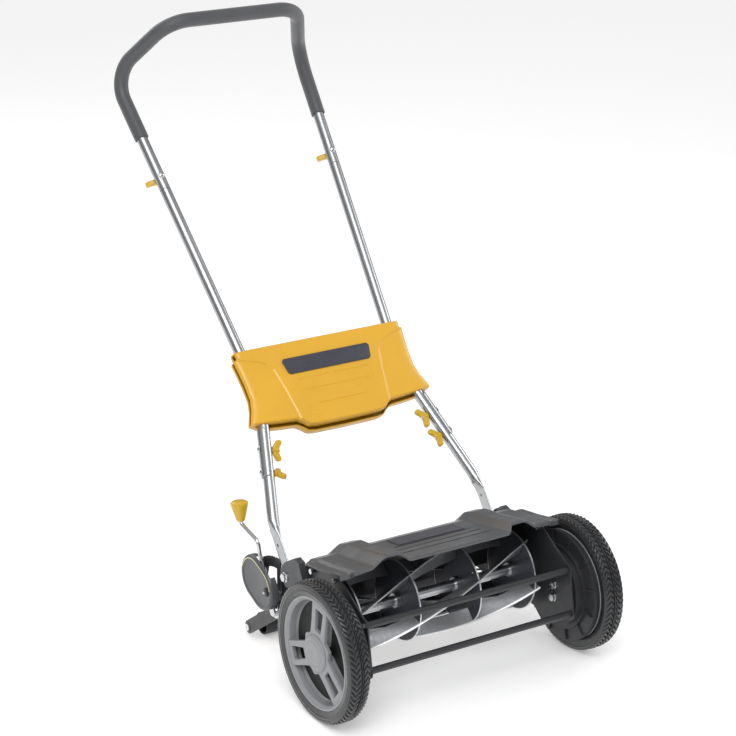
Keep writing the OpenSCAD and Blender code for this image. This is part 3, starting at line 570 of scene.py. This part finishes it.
def tyre(word, side):
    """Tyre with chevron ribs, a middle ring and fine rings on the sidewalls."""
    outer = TYRE_HIGH.x / MM
    width = (TYRE_HIGH.x - TYRE_LOW.x) / MM
    r = TYRE_R / MM
    inner_x, middle = outer - width, outer - width / 2
    u = np.linspace(-0.97, 0.97, 45)
    crown = r - 3.2 * np.abs(u) ** 3.2
    turns = np.arange(TREAD_PITCHES * TREAD_STEPS) / TREAD_STEPS
    wall_out = [(125.2, outer - 1.0), (123.0, outer - 0.25), (121.5, outer), (120.6, outer - 0.7),
                (119.4, outer), (115.5, outer - 0.1), (114.6, outer - 0.9), (113.5, outer - 0.2),
                (108.5, outer - 0.9), (106.2, outer - 1.6), (104.5, outer - 2.2), (104.4, 291.6)]
    wall_in = [(106.2, 291.6), (106.2, inner_x + 2.2), (112, inner_x + 0.7), (119.5, inner_x),
               (120.4, inner_x + 0.7), (121.4, inner_x), (124.8, inner_x + 1.2)]
    verts = []
    across = middle - u * width / 2 * 0.985  # from the outer side to the inner side
    for t in turns:
        a = 2 * math.pi * t / TREAD_PITCHES
        rise = (tread_height(t, u) - 1) * TREAD_DEPTH
        crown_ring = [(float(p), float(q)) for p, q in zip(crown + rise, across)]
        ring = wall_out[::-1] + crown_ring + wall_in[::-1]
        ca, sa = math.cos(a), math.sin(a)
        verts += [(side * x, rad * ca, r + rad * sa) for rad, x in ring]
    columns = len(wall_out) + len(u) + len(wall_in)
    faces = grid_faces(len(turns), columns, wrap_columns=True, wrap_rows=True)
    return make("tread_" + word, verts, faces, MATERIALS["tyre"], "wheel_" + word, ["tyre_" + word])


SPOKE_ANGLES = (98, 218, 338)


def turn2(point, degrees):
    """A 2-D point turned about the origin."""
    a = math.radians(degrees)
    return (point[0] * math.cos(a) - point[1] * math.sin(a),
            point[0] * math.sin(a) + point[1] * math.cos(a))


def rim(word, side):
    """Rim: deep barrel with a lip, dished web under a black disc of painted shade, and a three-spoke face
    with slots and a hub.
    """
    r = TYRE_R / MM
    mat = MATERIALS["rim_grey"]
    barrel = rounded([(8, 266.4), (17, 266.4), (20, 268), (102.6, 268), (102.6, 257.6), (105.9, 257.6),
                      (105.9, 291.4), (104.1, 291.5), (104.1, 293.9), (100.2, 293.9), (95.2, 288.5),
                      (93.4, 276), (90, 271), (20, 271), (18, 274), (18, 288), (14.9, 288), (14.9, 291),
                      (8, 291)], 1.6, 3)
    turned("rim_barrel_" + word, barrel, side, (0, r), mat, "wheel_" + word, ["rim_" + word], 144)
    half, reach = 23, 97.5
    outline = []
    for a in SPOKE_ANGLES:
        local = [(30.7, -half), (60, -half + 0.5), (reach, -half - 1), (reach, half + 1),
                 (60, half - 0.5), (30.7, half), (22, 38.1)]
        outline += [turn2(p, a) for p in local]
    outline = rounded(outline, 4.0, 3)
    slots = []
    for a in SPOKE_ANGLES:
        slot = rounded([(43, -9.5), (86, -12.5), (86, 12.5), (43, 9.5)], 2.5, 3)
        slots.append([turn2(p, a) for p in slot])
    bevelled_plate("rim_spokes_" + word, [outline] + slots, 9, 1.8,
                   yz_plane(side * 286.5, 0, r), mat, "wheel_" + word)
    # Painted shade: a black disc on the web behind the spokes stands in for the shadow deep inside the rim,
    # and makes the spoke slots look black.
    back = rounded([(19.4, 271.02), (89.8, 271.02), (90.6, 272.2), (89.4, 272.8), (19.4, 272.8)], 0.3, 2)
    turned("rim_back_" + word, back, side, (0, r), SEAM_AND_SHADE_BLACK, "wheel_" + word)
    ribs = [(a, across * 17) for a in SPOKE_ANGLES for across in (-1, 1)]
    verts, faces = [], []
    for a, off in ribs:
        base = len(verts)
        for x in (side * 270.6, side * 283):
            for p in ((20, off - 2.4), (96, off - 2.4), (96, off + 2.4), (20, off + 2.4)):
                q = turn2(p, a)
                verts.append((x, q[0], r + q[1]))
        faces += [(base, base + 1, base + 2, base + 3), (base + 4, base + 5, base + 6, base + 7)]
        faces += [(base + k, base + (k + 1) % 4, base + 4 + (k + 1) % 4, base + 4 + k) for k in range(4)]
    make("rim_ribs_" + word, verts, faces, mat, "wheel_" + word, smooth=False)
    cap = [(0.01, 297.2), (12, 297.4), (20, 297.6), (22.2, 297.3), (23.0, 296.6), (23.8, 297.2),
           (26.5, 297.1), (31, 295.6), (34.2, 293.4), (34.9, 292.2), (34.6, 291.1), (17.8, 291.1),
           (17.8, 288.2), (15.2, 288.2), (15.2, 293.6), (0.01, 293.6)]
    turned("hub_button_" + word, cap, side, (0, r), mat, "wheel_" + word, ["hub_cap_" + word], 96)


# ---------------------------------------------------------------- handle
def handle_tubes():
    """Upper bow, middle tubes with their bend, and lower tubes that flatten at their foot."""
    zinc = MATERIALS["tube_zinc"]
    ends = [SEAM_UP, GRIP_CORNER, BAR_CORNER]
    bow = [sided(-1, p) for p in ends] + [sided(1, p) for p in reversed(ends)]
    pipe("tube_bow", route_points(bow, [0, 62, 66, 66, 62, 0]), TUBE_R, zinc, "handle", ["upper_tube"])
    grip = [GRIP_END, GRIP_CORNER, BAR_CORNER]
    route = [sided(-1, p) for p in grip] + [sided(1, p) for p in reversed(grip)]
    pipe("grip_sleeve", route_points(route, [0, 62, 66, 66, 62, 0]), FOAM_R, MATERIALS["foam"], "handle",
         ["foam_grip"], 56, 3.0, 1.2)
    for word, side in SIDES.items():
        middle = [sided(side, p) for p in (SEAM_LOW + LOW_DIR * 117, BEND_LOW, SEAM_UP - UP_DIR * 0.5)]
        pipe("tube_middle_" + word, route_points(middle, [0, 90, 0]), TUBE_R, zinc, "handle",
             ["middle_tube_" + word])
        a, b = (sided(side, SEAM_UP + UP_DIR * k) for k in (-3.0, 3.0))
        pipe("seam_ring_" + word, [a, (a + b) / 2, b], TUBE_R - 0.35, SEAM_AND_SHADE_BLACK, "handle", (), 40, 1.0, 0.2)
        trough(word, side, zinc)
        flat_tube(word, side, zinc)


def trough(word, side, material):
    """Low end of the middle tube, pressed over the outer side of the lower tube."""
    out = Vector((math.cos(TILT), math.sin(TILT) * math.cos(SLOPE), math.sin(TILT) * math.sin(SLOPE)))
    front = Vector((0, -math.sin(SLOPE), math.cos(SLOPE)))
    lengths = [0, 0.6, 2] + list(np.linspace(6, 90, 15)) + list(np.linspace(92, 102, 11)) + [110, 120]
    arc = 24
    verts = []
    for length in lengths:
        narrow = float(smooth_step(length, 91, 103))
        lip = 0.6 if length == 0 else 0.0
        half = math.radians(72 - 22 * narrow)
        outer, inner = TROUGH_R - 0.8 * narrow - lip, TUBE_R + 0.15 + lip
        middle, round_r = (outer + inner) / 2, (outer - inner) / 2
        ring = []
        for k in range(arc + 1):
            a = -half + 2 * half * k / arc
            ring.append((outer * math.cos(a), outer * math.sin(a)))
        for k in range(1, 6):
            b = half + math.pi * k / 6
            ring.append((middle * math.cos(half) + round_r * math.cos(b),
                         middle * math.sin(half) + round_r * math.sin(b)))
        for k in range(arc + 1):
            a = half - 2 * half * k / arc
            ring.append((inner * math.cos(a), inner * math.sin(a)))
        for k in range(1, 6):
            b = -half + math.pi + math.pi * k / 6
            ring.append((middle * math.cos(half) + round_r * math.cos(b),
                         -middle * math.sin(half) + round_r * math.sin(b)))
        centre = SEAM_LOW + LOW_DIR * length
        verts += [sided(side, centre + out * u + front * v) for u, v in ring]
    count = len(verts) // len(lengths)
    faces = grid_faces(len(lengths), count, wrap_columns=True)
    faces.append(tuple(range(count)))
    faces.append(tuple(range((len(lengths) - 1) * count, len(lengths) * count)))
    make("tube_mouth_" + word, verts, faces, material, "handle")


def flat_tube(word, side, material):
    """Round tube from the seam down, pressed flat round the pivot bolt."""
    start = SEAM_LOW + LOW_DIR * 115.5
    squeeze_end = Vector((227.6, 238, 241))
    foot_dir = (HANDLE_PIVOT - squeeze_end).normalized()
    points, shapes = [], []
    for t in np.linspace(0, 1, 12):
        points.append(start.lerp(FLAT_TOP, t))
        shapes.append((TUBE_R, TUBE_R))
    for t in np.linspace(0, 1, 14)[1:]:
        ease = float(smooth_step(t, 0.0, 1.0))
        points.append(FLAT_TOP.lerp(squeeze_end, t))
        shapes.append((TUBE_R + (2.3 - TUBE_R) * ease, TUBE_R + (14.2 - TUBE_R) * ease))
    for t in np.linspace(0, 1, 5)[1:]:
        points.append(squeeze_end.lerp(HANDLE_PIVOT, t))
        shapes.append((2.3, 14.2))
    for k in range(1, 9):
        a = math.radians(k * 10.8)
        points.append(HANDLE_PIVOT + foot_dir * 14.2 * math.sin(a))
        shapes.append((2.3, max(14.2 * math.cos(a), 0.9)))
    count = 40
    verts = []
    for p, (thin, wide) in zip(points, shapes):
        along = foot_dir if p.z < FLAT_TOP.z - 12 else -LOW_DIR
        x_dir = (Vector((1, 0, 0)) - along * along.x).normalized()
        y_dir = along.cross(x_dir)
        power = 2.0 if thin > 9 else 3.2
        for k in range(count):
            a = 2 * math.pi * k / count
            c, s = math.cos(a), math.sin(a)
            u = math.copysign(abs(c) ** (2 / power), c) * thin
            v = math.copysign(abs(s) ** (2 / power), s) * wide
            verts.append(sided(side, p + x_dir * u + y_dir * v))
    faces = grid_faces(len(points), count, wrap_columns=True)
    faces.append(tuple(range(count)))
    faces.append(tuple(range((len(points) - 1) * count, len(points) * count)))
    obj = make("tube_lower_" + word, verts, faces, material, "handle", ["lower_tube_" + word])
    bpy.ops.mesh.primitive_cylinder_add(vertices=32, radius=3.25 * MM, depth=20 * MM,
                                        location=at((side * 227.6, 234, 235)),
                                        rotation=(0, math.pi / 2, 0))
    cutter = bpy.context.active_object
    cut(obj, cutter)
    settle_again(obj, material)


WING_OUTLINE = [(-6, -7), (6, -7), (11, -4.5), (19.4, 0.6), (20.4, 4.6), (19.4, 8.8), (15.6, 10.2),
                (11.4, 8.9), (7.4, 6.4), (3.6, 5.4), (-3.6, 5.4), (-7.4, 6.4), (-11.4, 8.9),
                (-15.6, 10.2), (-19.4, 8.8), (-20.4, 4.6), (-19.4, 0.6), (-11, -4.5)]
KNOB_HUB = [(3.1, 0.2), (6.2, 0.2), (6.6, 0.6), (6.6, 2.2), (6.0, 2.8), (6.0, 10.8), (5.4, 11.8),
            (3.1, 11.8)]
KNOB_TURNS = {("middle", -1): 105, ("middle", 1): 95, ("lower", -1): 40, ("lower", 1): 100}


def cross_bolt(side, p):
    """Z along a cross bolt and outwards, square to the low run."""
    return (Matrix.Translation(at(sided(side, p))) @ Matrix.Rotation(SLOPE, 4, "X")
            @ Matrix.Rotation(side * TILT, 4, "Z") @ Matrix.Rotation(side * math.pi / 2, 4, "Y"))


def wing_knobs():
    """Wing knobs: a ribbed hub on the bolt and two rounded wings."""
    bolt_up = SEAM_UP + UP_DIR * 28
    bolt_mid = SEAM_LOW + LOW_DIR * 55
    bolt_low = SEAM_LOW + LOW_DIR * 9
    for word, side in SIDES.items():
        for place, bolt in (("upper", bolt_up), ("middle", bolt_mid), ("lower", bolt_low)):
            if place == "upper":
                frame_m = (Matrix.Translation(at(sided(side, bolt))) @ Matrix.Rotation(SLOPE, 4, "X")
                           @ Matrix.Scale(-1, 4, (0, 0, 1)))
            else:
                frame_m = (cross_bolt(side, bolt) @ Matrix.Rotation(math.pi, 4, "X")
                           @ Matrix.Rotation(math.radians(KNOB_TURNS[(place, side)]), 4, "Z"))
            name = "%s_%s" % (place, word)
            base = frame_m @ Matrix.Scale(MM, 4) @ Matrix.Translation((0, 0, 11.4))
            wings = base @ Matrix.Translation((0, 0, 9)) @ Matrix.Rotation(math.pi / 2, 4, "X")
            bevelled_plate("wings_" + name, [rounded(WING_OUTLINE, 1.5, 2)], 9.6, 2.2, wings,
                           MATERIALS["knob_yellow"], "knob_" + name, ["wing_knob_" + name])
            verts = []
            steps = 48
            for k in range(steps):
                a = 2 * math.pi * k / steps
                u, v = math.cos(a), math.sin(a)
                flute = 1 - 0.05 * (k % 4 == 0)
                verts += [base @ Vector((r * flute * u, r * flute * v, z)) for r, z in KNOB_HUB]
            make("hub_" + name, verts, grid_faces(steps, len(KNOB_HUB), True, True),
                 MATERIALS["knob_yellow"], "knob_" + name, metres=True)


# ---------------------------------------------------------------- panel between the tubes
PANEL_TOP = 96
CREASE = ((-80, 97), (-51, 100), (7, 109), (47, 118), (60, 129), (67, 143), (73, 162), (79, 186), (86, 240))
HALF_WIDTH = ((-60, 201), (-46, 199.5), (-22, 189), (0, 183.5), (30, 184), (60, 186.5), (77, 188.6),
              (80.5, 187.5), (82, 182), (96, 183.6))
BOTTOM = ((0, -77.5), (70, -76.5), (84, -74), (93, -66), (104, -59), (140, -56.5), (196, -51), (204, -50))
RIBS = ((18, 80), (-5, 75), (-36, 58))


def interpolate(value, table):
    """The table's second column at a value of its first."""
    return np.interp(value, [p[0] for p in table], [p[1] for p in table])


def panel_face(x, v, front):
    """Height of the panel's face above the middle plane of the handle."""
    ax = np.abs(x)
    half = interpolate(v, HALF_WIDTH)
    u = np.clip((ax - 120) / (half - 120), 0, 0.9995)
    wing = 15.6 * (1 - u ** 6) ** (1 / 6)
    if not front:
        return wing + 2.6 * (1 - smooth_step(ax, 100, 114))
    inside = ax - interpolate(v, CREASE)
    face = 18.9 - 1.2 * (ax / 180) ** 2
    face = np.minimum(face, 17.6 * (1 - np.clip((ax - 120) / (half - 120), 0, 0.9995) ** 8) ** (1 / 8))
    w = face + (wing - face) * smooth_step(inside, -1.0, 4.5)
    w = w - 1.1 * np.exp(-((inside - 1.0) / 1.5) ** 2)
    for level, reach in RIBS:
        span = 1 - smooth_step(ax, reach - 3, reach + 1)
        w = w - 0.9 * span * np.exp(-((v - level + 2.0) / 1.1) ** 2)
        w = w + 0.55 * span * np.exp(-((v - level - 0.6) / 1.3) ** 2)
    return w


def panel_shell(name, front, material, replaced):
    """One half of the panel: face, rolled edges and short side walls."""
    t = np.linspace(-1, 1, 241)
    shares = [0.0, 0.0, *np.linspace(0.0, 1.0, 121), 1.0, 1.0]
    last = len(shares) - 1
    edge = 5.0
    below = 0.0 if front else 8.0
    rows = []
    for i, share in enumerate(shares):
        x = t * interpolate(0.0, HALF_WIDTH)
        for _ in range(3):
            low = interpolate(np.abs(x), BOTTOM) - below * (1 - smooth_step(np.abs(x), 176, 196))
            v = low + (PANEL_TOP - low) * share
            x = t * interpolate(v, HALF_WIDTH)
        w = panel_face(x, v, front)
        near = np.minimum(v - low, PANEL_TOP - v)
        roll = np.clip(near / edge, 0, 1)
        w = w - 3.2 * (1 - np.sqrt(np.clip(1 - (1 - roll) ** 2, 0, 1)))
        if i in (0, last):
            w = np.full_like(w, 0.4)
        elif i in (1, last - 1):
            w = w * 0.5
        rows.append(np.stack([x, v, np.maximum(w, 0.3)], axis=1))
    sign = 1 if front else -1
    place = slope_matrix(Vector((0, BEND_LOW.y, BEND_LOW.z)))
    verts = [place @ Vector((p[0], p[1], sign * p[2])) for row in rows for p in row]
    faces = grid_faces(len(rows), len(t))
    if front:
        faces = [tuple(reversed(f)) for f in faces]
    mesh_obj = make(name, verts, faces, material, "handle", replaced, metres=True)
    orient(mesh_obj, place.to_3x3() @ Vector((0, 0, sign)))
    solid = mesh_obj.modifiers.new("wall", "SOLIDIFY")
    solid.thickness = 2.2 * MM
    solid.offset = -1.0
    apply_modifiers(mesh_obj)
    return settle_again(mesh_obj, material)


def orient(obj, outward):
    """Flips an open surface so that its mean normal points outwards."""
    mesh = obj.data
    total = Vector((0, 0, 0))
    for f in mesh.polygons:
        total += f.normal * f.area
    if total.dot(outward) < 0:
        mesh.flip_normals()


def panel():
    """Two shells round the middle tubes, with a blank badge on the front one."""
    panel_shell("shell_front", True, MATERIALS["panel_yellow"], ["panel_front"])
    panel_shell("shell_back", False, MATERIALS["panel_back_yellow"], ["panel_back"])
    outline = rounded([(-93, 62), (93, 62), (97.5, 57), (92, 33), (87, 29.5), (-87, 29.5), (-92, 33),
                       (-97.5, 57)], 4.5, 5)
    place = slope_matrix(Vector((0, BEND_LOW.y, BEND_LOW.z))) @ Matrix.Translation((0, 0, 18.9))
    bevelled_plate("badge_plate", [outline], 2.4, 0.6, place, MATERIALS["badge_dark"], "handle",
                   ["panel_badge"])


# ---------------------------------------------------------------- deck
DECK_LINE = ((0.0, 273.0), (68.0, 259.4), (116.0, 252.5), (146.0, 240.0), (172.0, 216.0), (182.0, 196.0))
DECK_FRONT = ((0, -25), (104, -25), (112, -22), (121, -10), (158, -9), (165, -8), (170, -7), (214, -5),
              (220, 2), (238, 3))
DECK_LIFT = ((0, 0), (109, 0), (124, 13), (152, 13), (176, -2), (212, -2.5), (219, -7.5), (238, -7.5))
DECK_DROP = ((0, 3.5), (110, 3.5), (122, 3), (158, 3), (170, 5), (205, 8), (238, 9))
GROOVES = ((18, 98), (43, 92), (64, 84))


def deck():
    """Deck cover: stepped across, folded down at the back, with a lip at the front and grooves."""
    marks = [0, 60, 86, 90, 104, 108, 112, 114, 116, 118, 120, 122, 124, 128, 150, 154, 156, 158, 161,
             164, 167, 170, 172, 176, 206, 210, 212, 214, 216, 218, 219.5]
    outer = [221, 226, 232, 236, 238]
    for wing, xs, end_y in (("main", marks, 182.0), ("side", outer, 124.0)):
        if wing == "main":
            xs = sorted({-x for x in xs} | set(xs))
            extra = []
            for a, b in zip(xs[:-1], xs[1:]):
                count = max(1, math.ceil((b - a) / 4))
                extra += list(np.linspace(a, b, count + 1)[:-1])
            columns = np.array(extra + [xs[-1]])
            deck_piece("deck_shell", columns, end_y)
        else:
            for word, side in SIDES.items():
                columns = np.array(sorted(side * x for x in [218.5] + xs))
                deck_piece("deck_wing_" + word, columns, end_y)


def deck_piece(name, columns, end_y):
    """A stretch of the deck from its front lip to end_y, over the given places across."""
    ax = np.abs(columns)
    front = interpolate(ax, DECK_FRONT)
    lift = interpolate(ax, DECK_LIFT)
    lip = interpolate(ax, DECK_DROP)
    rows = []
    for share in (1.0, 0.7, 0.4):
        rows.append(np.stack([columns, front, 271 - 0.2 * front + lift - lip * share], axis=1))
    shares = list(np.linspace(0, 1, 90))
    for g, _ in GROOVES:
        shares += [(g + d - DECK_FRONT[0][1]) / (end_y - DECK_FRONT[0][1]) for d in (-3.0, -2.4, 2.4, 3.0)]
    for t in sorted(shares):
        y = front + (end_y - front) * t
        z = np.where(y < 0, 273 - 0.2 * y, interpolate(y, DECK_LINE))
        near = y - front
        z = z - 2.0 * (1 - np.sqrt(np.clip(1 - (1 - np.clip(near / 2.5, 0, 1)) ** 2, 0, 1)))
        for g, end in GROOVES:
            reach = 1 - smooth_step(ax, end - 2, end + 2)
            z = z - 2.2 * reach * (1 - smooth_step(np.abs(y - g), 2.4, 3.0))
        rows.append(np.stack([columns, y, z + lift], axis=1))
    verts = [Vector(p) for row in rows for p in row]
    replaced = ["deck_cover"] if name == "deck_shell" else []
    obj = make(name, verts, grid_faces(len(rows), len(columns)), MATERIALS["deck_grey"], "frame", replaced)
    orient(obj, Vector((0, 0, 1)))
    solid = obj.modifiers.new("wall", "SOLIDIFY")
    solid.thickness = 3 * MM
    solid.offset = -1.0
    apply_modifiers(obj)
    settle_again(obj, MATERIALS["deck_grey"], 38)


# ---------------------------------------------------------------- lever cover
COVER_FRONT, COVER_BACK = (271, 140), (297, 151)
LEVER_PIVOT = (242, 100)
PLUG_AT = (246, 141)
SLOT_R = 112
BORE_X = (-230, -244.4)


def capsule(p, q, r, steps=28):
    """Outline of a strip with round ends, anticlockwise."""
    lean = math.atan2(q[1] - p[1], q[0] - p[0])
    out = []
    for centre, start in ((q, lean - math.pi / 2), (p, lean + math.pi / 2)):
        for k in range(steps + 1):
            a = start + math.pi * k / steps
            out.append((centre[0] + r * math.cos(a), centre[1] + r * math.sin(a)))
    return out


def round_points(centre, r, degrees):
    """Points on a circle at the given angles."""
    turns = [math.radians(d) for d in degrees]
    return [(centre[0] + r * math.cos(a), centre[1] + r * math.sin(a)) for a in turns]


def rings_piece(name, rings, material, body, replaced=()):
    """Faces between outlines of equal length, closed at both ends; each ring is (outline, x)."""
    verts = [(x, y, z) for outline, x in rings for y, z in outline]
    count = len(rings[0][0])
    faces = grid_faces(len(rings), count, wrap_columns=True)
    faces.append(tuple(range(count)))
    faces.append(tuple(range((len(rings) - 1) * count, len(rings) * count)))
    return make(name, verts, faces, material, body, replaced)


def lever_cover():
    """Lens-shaped cover of the height lever: round shoulder, raised rim, sunk face and a pale line."""
    def ring(r, x):
        return capsule(COVER_FRONT, COVER_BACK, r), -x
    rings = [ring(40, 245.6), ring(41.4, 243.8), ring(41.6, 234), ring(42.8, 233.8), ring(44, 234.4),
             ring(44, 244.8), ring(43.4, 247.2), ring(41.8, 249.2), ring(39.6, 250), ring(36.6, 250),
             ring(35.6, 249.6), ring(34.9, 248.6), ring(33.6, 248.4)]
    grey = MATERIALS["deck_grey"]
    obj = rings_piece("cover_lens", rings, grey, "frame", ["lever_cover"])
    slot = round_points(LEVER_PIVOT, SLOT_R, range(60, 93, 4))
    slot += round_points(LEVER_PIVOT, 24, (92, 60))
    relief = round_points(LEVER_PIVOT, 18, range(0, 360, 12))
    for name, hole in (("slot", slot), ("relief", relief)):
        cut(obj, rings_piece(name, [(hole, x) for x in BORE_X], grey, "frame"))
    settle_again(obj, grey)
    line = []
    for r in (37.2, 38.8):
        whole = capsule(COVER_FRONT, COVER_BACK, r)
        line.append(whole[13:39])
    verts = [(-x, y, z) for x in (249.9, 250.35) for row in line for y, z in row]
    n = len(line[0])
    faces = []
    for k in range(n - 1):
        a, b, c, d = k, n + k, 2 * n + k, 3 * n + k
        faces += [(a, a + 1, b + 1, b), (c, d, d + 1, c + 1), (a, c, c + 1, a + 1), (b, b + 1, d + 1, d)]
    faces += [(0, n, 3 * n, 2 * n), (n - 1, 3 * n - 1, 4 * n - 1, 2 * n - 1)]
    make("cover_line", verts, faces, LINE_YELLOW, "frame")
    plug, smaller = (rounded(round_points(PLUG_AT, 8.5 * k, range(0, 360, 60)), 1.0 * k, 2)
                     for k in (1, 0.86))
    rings_piece("cover_plug", [(plug, -248.2), (plug, -251.6), (smaller, -252.6)],
                MATERIALS["black_plastic"], "frame")
    tip, top = (round_points(PLUG_AT, r, range(0, 360, 15)) for r in (3, 1.8))
    rings_piece("cover_plug_tip", [(tip, -252.2), (tip, -254.6), (top, -255.8)], MATERIALS["zinc"],
                "frame")


# ---------------------------------------------------------------- reel
def reel():
    """Five twisted blades with a ground edge."""
    reel_y, reel_z = (REEL.y - AXLE.y) / MM, REEL.z / MM
    length, twist, edge, depth, thick = 400, 116, 79.5, 30, 2.6
    steps = 160
    verts, faces = [], []
    for k in range(5):
        base = len(verts)
        section = [(edge - depth, -thick / 2), (edge - 1.6, -thick / 2), (edge, -thick / 2 + 1.0),
                   (edge, thick / 2), (edge - depth, thick / 2)]
        for i in range(steps + 1):
            x = -length / 2 + length * i / steps
            a = math.radians(157.5 - (x + 190) * twist / length + k * 72)
            for r, t in section:
                verts.append((x, reel_y + r * math.cos(a) - t * math.sin(a),
                              reel_z + r * math.sin(a) + t * math.cos(a)))
        m = len(section)
        faces += [tuple(base + v for v in f) for f in grid_faces(steps + 1, m, wrap_columns=True)]
        faces.append(tuple(base + j for j in range(m)))
        faces.append(tuple(base + steps * m + j for j in range(m)))
    make("blades", verts, faces, MATERIALS["knife_steel"], "reel", ["reel_blades"])


# ---------------------------------------------------------------- stage
def stage():
    """Pale floor, a sky that brightens upwards, three soft lights and a weak sun."""
    bpy.ops.mesh.primitive_plane_add(size=60, location=(0, 0, 0))
    floor = bpy.context.active_object
    floor.name = "floor"
    mat = bpy.data.materials.new("floor")
    mat.use_nodes = True
    shader = mat.node_tree.nodes["Principled BSDF"]
    shader.inputs["Base Color"].default_value = (0.86, 0.86, 0.86, 1)
    shader.inputs["Roughness"].default_value = 0.6
    shader.inputs["Emission Color"].default_value = (1, 1, 1, 1)
    shader.inputs["Emission Strength"].default_value = 0.31
    floor.data.materials.append(mat)
    world = bpy.data.worlds.new("studio")
    bpy.context.scene.world = world
    world.use_nodes = True
    tree = world.node_tree
    back = tree.nodes["Background"]
    coords = tree.nodes.new("ShaderNodeTexCoord")
    split = tree.nodes.new("ShaderNodeSeparateXYZ")
    ramp = tree.nodes.new("ShaderNodeValToRGB")
    tree.links.new(coords.outputs["Generated"], split.inputs[0])
    tree.links.new(split.outputs["Z"], ramp.inputs["Fac"])
    tree.links.new(ramp.outputs["Color"], back.inputs["Color"])
    ramp.color_ramp.elements[0].position = 0.0
    ramp.color_ramp.elements[0].color = (0.30, 0.30, 0.31, 1)
    ramp.color_ramp.elements[1].position = 0.65
    ramp.color_ramp.elements[1].color = (1.0, 1.0, 1.0, 1)
    back.inputs["Strength"].default_value = 0.52
    lights = (
        ("key", (-2.2, -2.6, 3.2), 2.0, 62.0),
        ("side", (3.0, -0.6, 1.8), 1.4, 22.0),
        ("back", (-0.6, 3.2, 2.8), 2.0, 34.0),
    )
    for name, place, size, power in lights:
        data = bpy.data.lights.new(name, "AREA")
        data.energy = power
        data.size = size
        lamp = bpy.data.objects.new(name, data)
        lamp.location = place
        lamp.rotation_euler = (Vector((0, 0, 0.4)) - Vector(place)).to_track_quat("-Z", "Y").to_euler()
        bpy.context.collection.objects.link(lamp)
    sun = bpy.data.lights.new("sky", "SUN")
    sun.energy = 0.85
    sun.angle = math.radians(40)
    lamp = bpy.data.objects.new("sky", sun)
    lamp.rotation_euler = (math.radians(28), math.radians(-18), 0)
    bpy.context.collection.objects.link(lamp)


CAMERA_AZIMUTH = math.radians(-32.3)
CAMERA_ELEVATION = math.radians(19.3)
CAMERA_AT = Vector((-2.1556, -3.4978, 1.9344))
CAMERA_LENS = 112.1


def camera():
    """The photograph's viewpoint."""
    data = bpy.data.cameras.new("camera")
    data.lens = CAMERA_LENS
    data.sensor_width = 36
    obj = bpy.data.objects.new("camera", data)
    ahead = Vector((-math.sin(CAMERA_AZIMUTH) * math.cos(CAMERA_ELEVATION),
                    math.cos(CAMERA_AZIMUTH) * math.cos(CAMERA_ELEVATION), -math.sin(CAMERA_ELEVATION)))
    obj.location = CAMERA_AT
    obj.rotation_euler = ahead.to_track_quat("-Z", "Y").to_euler()
    bpy.context.collection.objects.link(obj)
    bpy.context.scene.camera = obj
    bpy.context.scene.view_settings.view_transform = "Standard"


paint_cad_nodes()
for word, side in SIDES.items():
    tyre(word, side)
    rim(word, side)
handle_tubes()
wing_knobs()
panel()
deck()
reel()
lever_cover()
stage()
camera()
